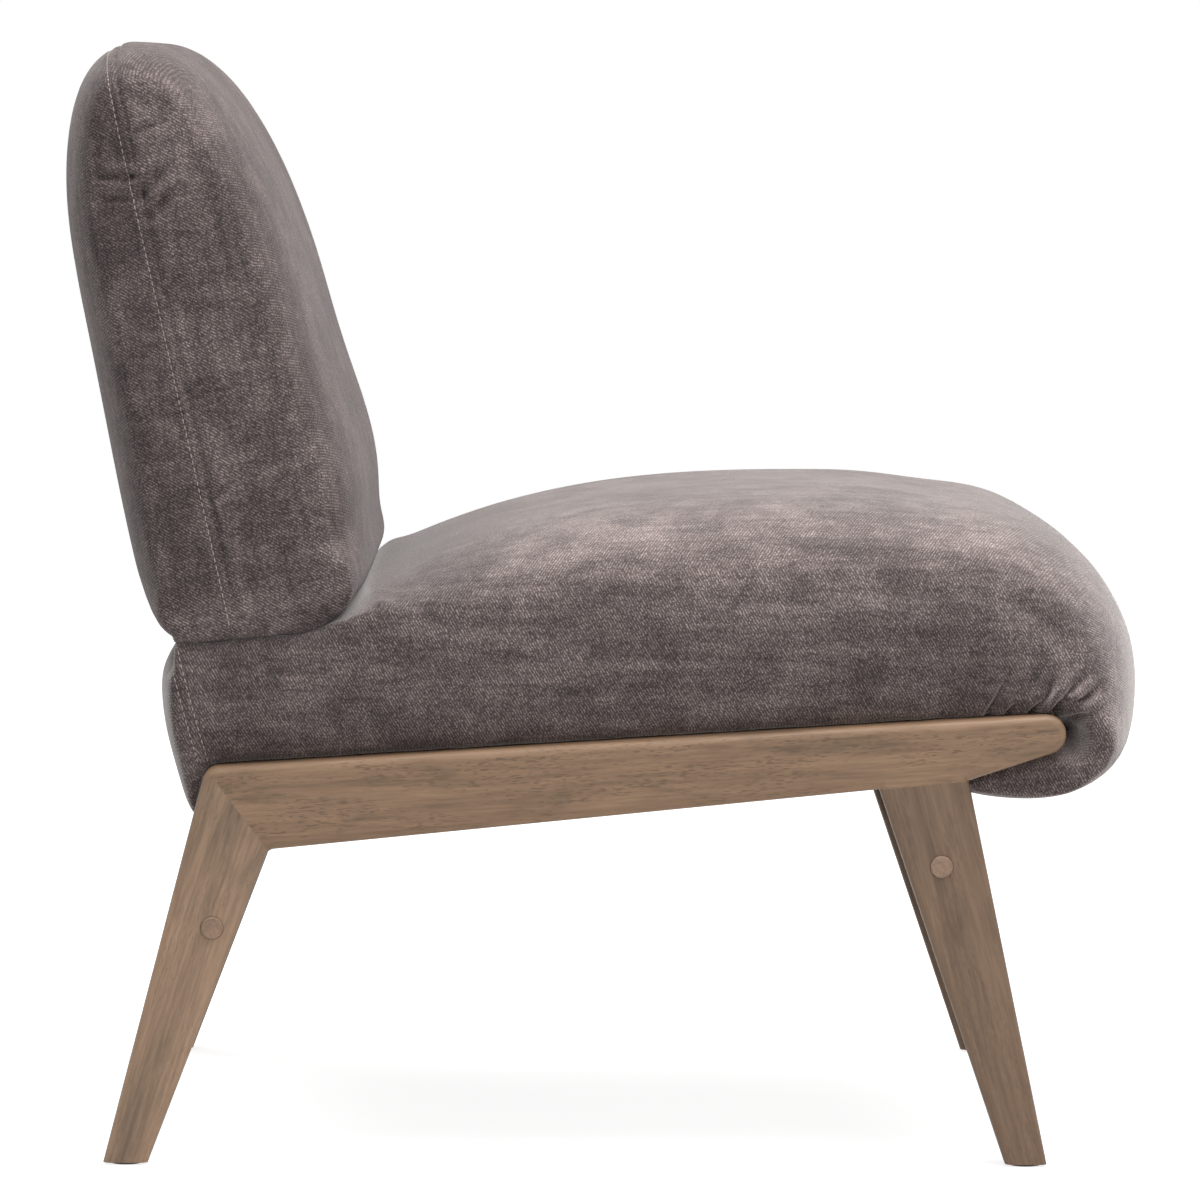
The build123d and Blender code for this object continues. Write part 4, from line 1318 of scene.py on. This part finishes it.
class CHAIR_OT_seat_cushion(Operator):
    """Makes the stuffed seat with its rolled front, pleated corners and stitched rear panel"""

    bl_idname = "chair.seat_cushion"
    bl_label = "Seat cushion"

    def execute(self, context):
        looks = context.scene.chair_fabric
        places = [seat_place(knot) for knot in SEAT_KNOTS]
        seat = soft_form("seat_cushion", places, SEAT_HALF_WIDTH, SEAT_ROLL, SEAT_ROLL_POWERS, self.ease)
        outline = frame_outline()
        inner, outer = INNER_X - SLOT_EASE, OUTER_X + SLOT_REACH
        cutters = [prism("slot", outline, side * inner, side * outer) for side in (-1, 1)]
        cutters.append(self.lining_recess())
        cut_away(seat, cutters)
        remesh(seat, looks.voxel)
        regain(seat.data, SEAT_REGAIN)
        self.bulge(seat.data)
        self.stuff(seat, outline, looks)
        subdivide(seat)
        close_crease(seat.data, -1)
        self.dress(seat, outline)
        shade_smooth(seat.data)
        cover = cover_material(
            "seat chenille",
            looks,
            turn=pi / 2,
            bias=radians(-15),
            streak=0.75,
            sheen=looks.seat_sheen,
            # Painted highlight on the crown: lighter pile where light falls on it
            crown_highlight=looks.seat_crown_highlight,
            # Painted shade beside the back: the crown there is painted darker than the side panels
            back_shade_share=-0.3,
        )
        seat.data.materials.clear()
        seat.data.materials.append(cover)
        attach(seat, "root")
        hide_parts("seat_cover", "seat_cover_rear", "seat_foam")
        return {"FINISHED"}

    def ease(self, points):
        """Bends are eased over 16 mm at the front and over 4 mm at the rear."""
        return 0.004 + 0.012 * smooth_step(0.16, 0.04, points[:, 0])

    def bulge(self, mesh):
        """Narrows the cover towards its crown and where it turns in over the rails."""
        points = positions(mesh)
        beside = np.abs(points[:, 0])
        rise = points[:, 2] - rail_top(points[:, 1])
        crown = CROWN_NARROWING * np.clip((rise - CROWN_FROM) / CROWN_RISE, 0, None) ** 2
        over_rail = smooth_step(*TURN_IN_FRONT, points[:, 1]) * smooth_step(*TURN_IN_REAR, points[:, 1])
        turn_in = TURN_IN * over_rail * np.clip(1 - rise / TURN_IN_RISE, 0, 1) ** 2
        push_in(points, crown * beside / SEAT_HALF_WIDTH + turn_in * smooth_step(*TURN_IN_SIDE, beside))
        place_points(mesh, points)

    def lining_recess(self):
        """The shallow room under the seat for its lining cloth."""
        low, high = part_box("seat_dust_cover")
        front, rear, side = low.y - RECESS_ROOM, high.y + RECESS_ROOM, high.x + RECESS_ROOM
        corners = [(front, RECESS_ROOF), (rear, RECESS_ROOF), (rear, RECESS_FLOOR), (front, RECESS_FLOOR)]
        return prism("recess", [(y, rail_top(y) + drop) for y, drop in corners], -side, side)

    def stuff(self, seat, outline, looks):
        """Swells the seat, held along the rails, under the back and below, behind the front roll."""
        points = positions(seat.data)
        gap, _ = outline_distance(points[:, 1:], outline)
        near_rail = (np.abs(points[:, 0]) > INNER_X - 0.012) & (gap < 0.010)
        under_back = points[:, 1] > RAIL_REAR_Y - 0.13
        below = points[:, 2] < rail_top(points[:, 1]) - 0.030
        behind_roll = points[:, 1] > RAIL_FRONT_Y + 0.05
        held = (near_rail | under_back | below & behind_roll).astype(float)
        held = np.clip(neighbour_mean(seat.data, held, 3), 0, 1)
        puff(seat, held, looks.seat_pressure, looks.swell, looks.slack)

    def dress(self, seat, outline):
        """Presses the pleats, the double seam and the tuck along the rails into the cover."""
        points = positions(seat.data)
        x, y, z = np.abs(points[:, 0]), points[:, 1], points[:, 2]
        pleats = (x > 0.235) & (y < -0.225) & (z > 0.285) & (z < 0.365)
        seam = np.abs(self.seam_distance(points)) < 0.012
        refine(seat, pleats | seam & (z > rail_top(y) - 0.01))
        points = positions(seat.data)
        gap, _ = outline_distance(points[:, 1:], outline)
        past = np.maximum(gap, 0)
        near_nose = smooth_step(*NOSE_TUCK_FROM, points[:, 1])
        tuck = TUCK_DEPTH * np.exp(-past / TUCK_REACH)
        tuck += NOSE_TUCK_DEPTH * np.exp(-past / NOSE_TUCK_REACH) * near_nose
        push_in(points, tuck * on_panels(points, TUCK_FULL))
        recess = np.linalg.norm((points[:, 1:] - NOSE_RECESS) / NOSE_RECESS_SIZE, axis=1)
        push_in(points, NOSE_RECESS_DEPTH * bell(recess, 1) * on_panels(points, NOSE_RECESS_FULL))
        place_points(seat.data, points)
        from_seam = self.seam_distance(points)
        rows = sum(bell(from_seam - row, 0.0014) for row in SEAT_STITCH_ROWS)
        puffed = bell(np.abs(from_seam - SEAT_SEAM_MIDDLE) - 0.010, 0.005)
        above = smooth_step(-0.004, 0.004, points[:, 2] - rail_top(points[:, 1]))
        press(seat.data, crease_depth(points, SEAT_CREASES) + above * (0.0014 * rows - 0.0006 * puffed))
        self.clear_of_wood(seat.data, outline)

    def seam_distance(self, points):
        return (points[:, 1:] - seat_corner()) @ SEAT_SEAM_WAY

    def clear_of_wood(self, mesh, outline):
        """Moves what the mesh's even spacing left inside the rails back out of them."""
        points = positions(mesh)
        gap, nearest = outline_distance(points[:, 1:], outline)
        inwards = np.abs(points[:, 0]) - (INNER_X - WOOD_ROOM)
        inside = (gap < WOOD_ROOM) & (inwards > 0)
        sideways = inside & (inwards < WOOD_ROOM - gap)
        points[sideways, 0] = np.sign(points[sideways, 0]) * (INNER_X - WOOD_ROOM)
        rest = inside & ~sideways
        way = points[rest][:, 1:] - nearest[rest]
        length = np.maximum(np.linalg.norm(way, axis=1), 1e-9)[:, None]
        out = way / length * np.where(gap[rest] < 0, -1, 1)[:, None]
        points[rest, 1:] = nearest[rest] + out * WOOD_ROOM
        place_points(mesh, points)


class CHAIR_OT_back_cushion(Operator):
    """Makes the stuffed back with its side seam, resting on the seat"""

    bl_idname = "chair.back_cushion"
    bl_label = "Back cushion"

    def execute(self, context):
        looks = context.scene.chair_fabric
        places = [back_place(knot) for knot in BACK_KNOTS]
        back = soft_form("back_cushion", places, BACK_HALF_WIDTH, BACK_ROLL, BACK_ROLL_POWERS, self.ease)
        remesh(back, looks.voxel)
        regain(back.data, BACK_REGAIN)
        self.stuff(back, looks)
        subdivide(back)
        self.dress(back)
        close_crease(back.data, 1)
        shade_smooth(back.data)
        cover = cover_material(
            "back chenille",
            looks,
            turn=BACK_LEAN,
            bias=radians(17),
            streak=0.60,
            sheen=looks.back_sheen,
            # Painted highlight on the crown: none on the back
            crown_highlight=looks.back_crown_highlight,
        )
        back.data.materials.clear()
        back.data.materials.append(cover)
        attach(back, "root")
        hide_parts("back_cover_front", "back_cover_rear", "back_foam_front", "back_foam_rear")
        return {"FINISHED"}

    def ease(self, points):
        """Bends are eased over 18 mm high up and over 3 mm at the bottom."""
        return 0.003 + 0.015 * smooth_step(0.44, 0.52, points[:, 1])

    def stuff(self, back, looks):
        """Swells the back, held along its seam and at its bottom."""
        across, up = back_frame(positions(back.data))
        held = ((np.abs(across) < 0.004) | (up < 0.03)).astype(float)
        held = np.clip(neighbour_mean(back.data, held, 2), 0, 1)
        puff(back, held, looks.back_pressure, looks.swell, looks.slack)

    def dress(self, back):
        """Presses the seam, its row of stitches and the puckers beside it into the cover."""
        points = positions(back.data)
        across, up = back_frame(points)
        puckers = (np.abs(points[:, 0]) > 0.25) & (np.abs(across) < 0.032)
        seam = (across > -0.012) & (across < 0.016)
        refine(back, (seam | puckers) & (up > 0.02))
        points = positions(back.data)
        across, up = back_frame(points)
        groove = 0.0022 * bell(across, 0.0018) + 0.0010 * bell(across - BACK_STITCH_ROW, 0.0016)
        lift = 0.0007 * bell(across + 0.006, 0.0045)
        shown = smooth_step(0.015, 0.04, up)
        press(back.data, shown * (groove - lift) + crease_depth(points, BACK_CREASES))


def layout_tree(name, sizes, axis):
    """A tree that sets a shape along a line, its axis turned along it, with the sizes as named inputs.

    Returns the tree, its inputs and the socket that takes the shape."""
    tree = bpy.data.node_groups.new(name, "GeometryNodeTree")
    ends = {"Line": "NodeSocketGeometry", "Finish": "NodeSocketMaterial", "Spacing": "NodeSocketFloat"}
    for title, kind in (ends | sizes).items():
        tree.interface.new_socket(name=title, in_out="INPUT", socket_type=kind)
    tree.interface.new_socket(name="Pieces", in_out="OUTPUT", socket_type="NodeSocketGeometry")
    given = tree.nodes.new("NodeGroupInput").outputs
    line = tree.nodes.new("GeometryNodeMeshToCurve")
    even = tree.nodes.new("GeometryNodeResampleCurve")
    even.mode = "LENGTH"
    tangent = tree.nodes.new("GeometryNodeInputTangent")
    turn = tree.nodes.new("FunctionNodeAlignRotationToVector")
    turn.axis = axis
    places = tree.nodes.new("GeometryNodeInstanceOnPoints")
    real = tree.nodes.new("GeometryNodeRealizeInstances")
    finish = tree.nodes.new("GeometryNodeSetMaterial")
    result = tree.nodes.new("NodeGroupOutput").inputs
    for start, end in (
        (given["Line"], line.inputs["Mesh"]),
        (line.outputs["Curve"], even.inputs["Curve"]),
        (given["Spacing"], even.inputs["Length"]),
        (tangent.outputs["Tangent"], turn.inputs["Vector"]),
        (even.outputs["Curve"], places.inputs["Points"]),
        (turn.outputs["Rotation"], places.inputs["Rotation"]),
        (places.outputs["Instances"], real.inputs["Geometry"]),
        (real.outputs["Geometry"], finish.inputs["Geometry"]),
        (given["Finish"], finish.inputs["Material"]),
        (finish.outputs["Geometry"], result["Pieces"]),
    ):
        tree.links.new(start, end)
    return tree, given, places.inputs["Instance"]


def stitch_tree():
    """Thread lengths set along a line: each a slim bead turned along it."""
    sizes = {"Length": "NodeSocketFloat", "Thickness": "NodeSocketFloat"}
    tree, given, shape = layout_tree("seam stitches", sizes, "Z")
    bead = tree.nodes.new("GeometryNodeMeshUVSphere")
    fill(bead, {"Segments": 6, "Rings": 5, "Radius": 0.5})
    size = tree.nodes.new("ShaderNodeCombineXYZ")
    for axis, title in (("X", "Thickness"), ("Y", "Thickness"), ("Z", "Length")):
        tree.links.new(given[title], size.inputs[axis])
    slim = tree.nodes.new("GeometryNodeTransform")
    tree.links.new(bead.outputs["Mesh"], slim.inputs["Geometry"])
    tree.links.new(size.outputs["Vector"], slim.inputs["Scale"])
    tree.links.new(slim.outputs["Geometry"], shape)
    return tree


def staple_tree():
    """Flat wire staples set along a line and turned with it."""
    tree, given, shape = layout_tree("lining staples", {"Size": "NodeSocketVector"}, "X")
    wire = tree.nodes.new("GeometryNodeMeshCube")
    tree.links.new(given["Size"], wire.inputs["Size"])
    tree.links.new(wire.outputs["Mesh"], shape)
    return tree


def line_mesh(name, runs):
    """A mesh of plain edges along runs of points."""
    points, edges = [], []
    for run in runs:
        first = len(points)
        points += [tuple(p) for p in run]
        edges += [(first + i, first + i + 1) for i in range(len(run) - 1)]
    mesh = bpy.data.meshes.new(name)
    mesh.from_pydata(points, edges, [])
    return mesh


def lay_out(name, runs, tree, values):
    """A plain mesh of what a node tree sets along runs of points."""
    guide = new_object(name + "_line", line_mesh(name + "_line", runs))
    layer = guide.modifiers.new("layout", "NODES")
    layer.node_group = tree
    for socket in tree.interface.items_tree:
        if socket.item_type == "SOCKET" and socket.in_out == "INPUT" and socket.name in values:
            layer[socket.identifier] = values[socket.name]
    guide.update_tag()
    mesh = evaluated_mesh(guide, name)
    guide.modifiers.clear()
    drop_object(guide)
    shade_smooth(mesh)
    return new_object(name, mesh)


class CHAIR_OT_lining(Operator):
    """Stretches the black lining cloth under the seat and staples it to the boards"""

    bl_idname = "chair.lining"
    bl_label = "Lining under the seat"

    def execute(self, context):
        looks = context.scene.chair_lining
        low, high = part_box("seat_dust_cover")
        lining = new_object("seat_lining", self.cloth_mesh(low, high, looks))
        thick = lining.modifiers.new("thickness", "SOLIDIFY")
        thick.thickness = looks.thickness
        settle(lining)
        shade_smooth(lining.data)
        cloth = speckled_material("black lining cloth", (0.02, 0.02, 0.02), 900.0, 0.95, 0.5)
        lining.data.materials.append(cloth)
        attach(lining, "root")
        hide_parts("seat_dust_cover")
        wire = speckled_material("staple wire", (0.55, 0.55, 0.54), 300.0, 0.35, 0.1, 1.0)
        values = {"Spacing": looks.spacing, "Size": STAPLE_SIZE, "Finish": wire}
        staples = lay_out("lining_staples", self.staple_runs(low, high), staple_tree(), values)
        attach(staples, "root")
        return {"FINISHED"}

    def under(self, y):
        return rail_top(y) - LINING_DROP

    def cloth_mesh(self, low, high, looks):
        """The lining as a grid that hangs a little between the boards."""
        count = LINING_POINTS
        points, faces = [], []
        for y in np.linspace(low.y, high.y, count):
            for x in np.linspace(low.x, high.x, count):
                across = smooth_step(0, 1, (high.x - 0.012 - abs(x)) / LINING_HANG)
                along = smooth_step(0, 1, min(y - low.y - 0.004, high.y - 0.012 - y) / LINING_HANG)
                points.append((x, y, self.under(y) - looks.sag * across * along))
        for i in range(count - 1):
            for j in range(count - 1):
                k = i * count + j
                faces.append((k, k + count, k + count + 1, k + 1))
        mesh = bpy.data.meshes.new("seat_lining")
        mesh.from_pydata(points, [], faces)
        return mesh

    def staple_runs(self, low, high):
        """Lines along the lining's side and rear edges, just inside them."""
        side, front, rear = high.x - 0.0045, low.y + 0.010, high.y - 0.006
        inside = side - 0.02
        runs = [[(x, y) for y in np.linspace(front, rear, STAPLE_LINE_POINTS)] for x in (-side, side)]
        runs.append([(x, rear) for x in np.linspace(-inside, inside, STAPLE_LINE_POINTS)])
        return [[(x, y, self.under(y) - STAPLE_DROP) for x, y in run] for run in runs]


class CHAIR_OT_stitches(Operator):
    """Sews the rows of thread beside the back's seam and along the seat's double seam"""

    bl_idname = "chair.stitches"
    bl_label = "Stitches"

    def execute(self, context):
        looks = context.scene.chair_thread
        tree = stitch_tree()
        values = {
            "Spacing": looks.spacing,
            "Length": looks.length,
            "Thickness": looks.thickness,
            "Finish": thread_material(looks),
        }
        back = lay_out("back_stitches", self.back_runs(looks), tree, values)
        seat = lay_out("seat_stitches", self.seat_runs(looks), tree, values)
        for piece in (back, seat):
            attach(piece, "root")
        return {"FINISHED"}

    def seam_run(self, cushion, origin, way, keep, looks):
        """A row of thread where a plane cuts the cushion, part sunk into the cover."""
        points, out = plane_section(bpy.data.objects[cushion].data, origin, way, keep)
        return points + out * looks.thickness * STITCH_LIFT

    def back_runs(self, looks):
        def keep(points):
            return back_frame(points)[1] > 0.022

        return [self.seam_run("back_cushion", back_point(BACK_STITCH_ROW, 0), BACK_SEAM_WAY, keep, looks)]

    def seat_runs(self, looks):
        runs = []
        for offset in SEAT_STITCH_ROWS:
            for side in (-1, 1):

                def keep(points):
                    return (points[:, 0] * side > 0.285) & (points[:, 2] > rail_top(points[:, 1]) + 0.003)

                origin = seat_corner() + SEAT_SEAM_WAY * offset
                runs.append(self.seam_run("seat_cushion", origin, SEAT_SEAM_WAY, keep, looks))
        return runs


class CHAIR_PT_panel(Panel):
    """Lists the chair's pieces in the sidebar"""

    bl_label = "Accent chair"
    bl_idname = "CHAIR_PT_panel"
    bl_space_type = "VIEW_3D"
    bl_region_type = "UI"
    bl_category = "Chair"

    def draw(self, context):
        for group in SETTINGS:
            settings = getattr(context.scene, group)
            box = self.layout.box()
            for name in settings.bl_rna.properties.keys():
                if name not in ("rna_type", "name"):
                    box.prop(settings, name)
        for operator in OPERATORS:
            self.layout.operator(operator.bl_idname)


SETTINGS = {
    "chair_wood": ChairWood,
    "chair_fabric": ChairFabric,
    "chair_thread": ChairThread,
    "chair_lining": ChairLining,
    "chair_stage": ChairStage,
}
OPERATORS = (
    CHAIR_OT_stage,
    CHAIR_OT_wood,
    CHAIR_OT_inner_parts,
    CHAIR_OT_seat_cushion,
    CHAIR_OT_back_cushion,
    CHAIR_OT_stitches,
    CHAIR_OT_lining,
)


def register():
    for kind in (*SETTINGS.values(), *OPERATORS, CHAIR_PT_panel):
        bpy.utils.register_class(kind)
    for name, kind in SETTINGS.items():
        setattr(bpy.types.Scene, name, PointerProperty(type=kind))


def unregister():
    for name in SETTINGS:
        delattr(bpy.types.Scene, name)
    for kind in reversed((*SETTINGS.values(), *OPERATORS, CHAIR_PT_panel)):
        bpy.utils.unregister_class(kind)


def main():
    register()
    bpy.ops.chair.stage()
    bpy.ops.chair.wood()
    bpy.ops.chair.inner_parts()
    bpy.ops.chair.seat_cushion()
    bpy.ops.chair.back_cushion()
    bpy.ops.chair.stitches()
    bpy.ops.chair.lining()


if __name__ == "__main__":
    main()
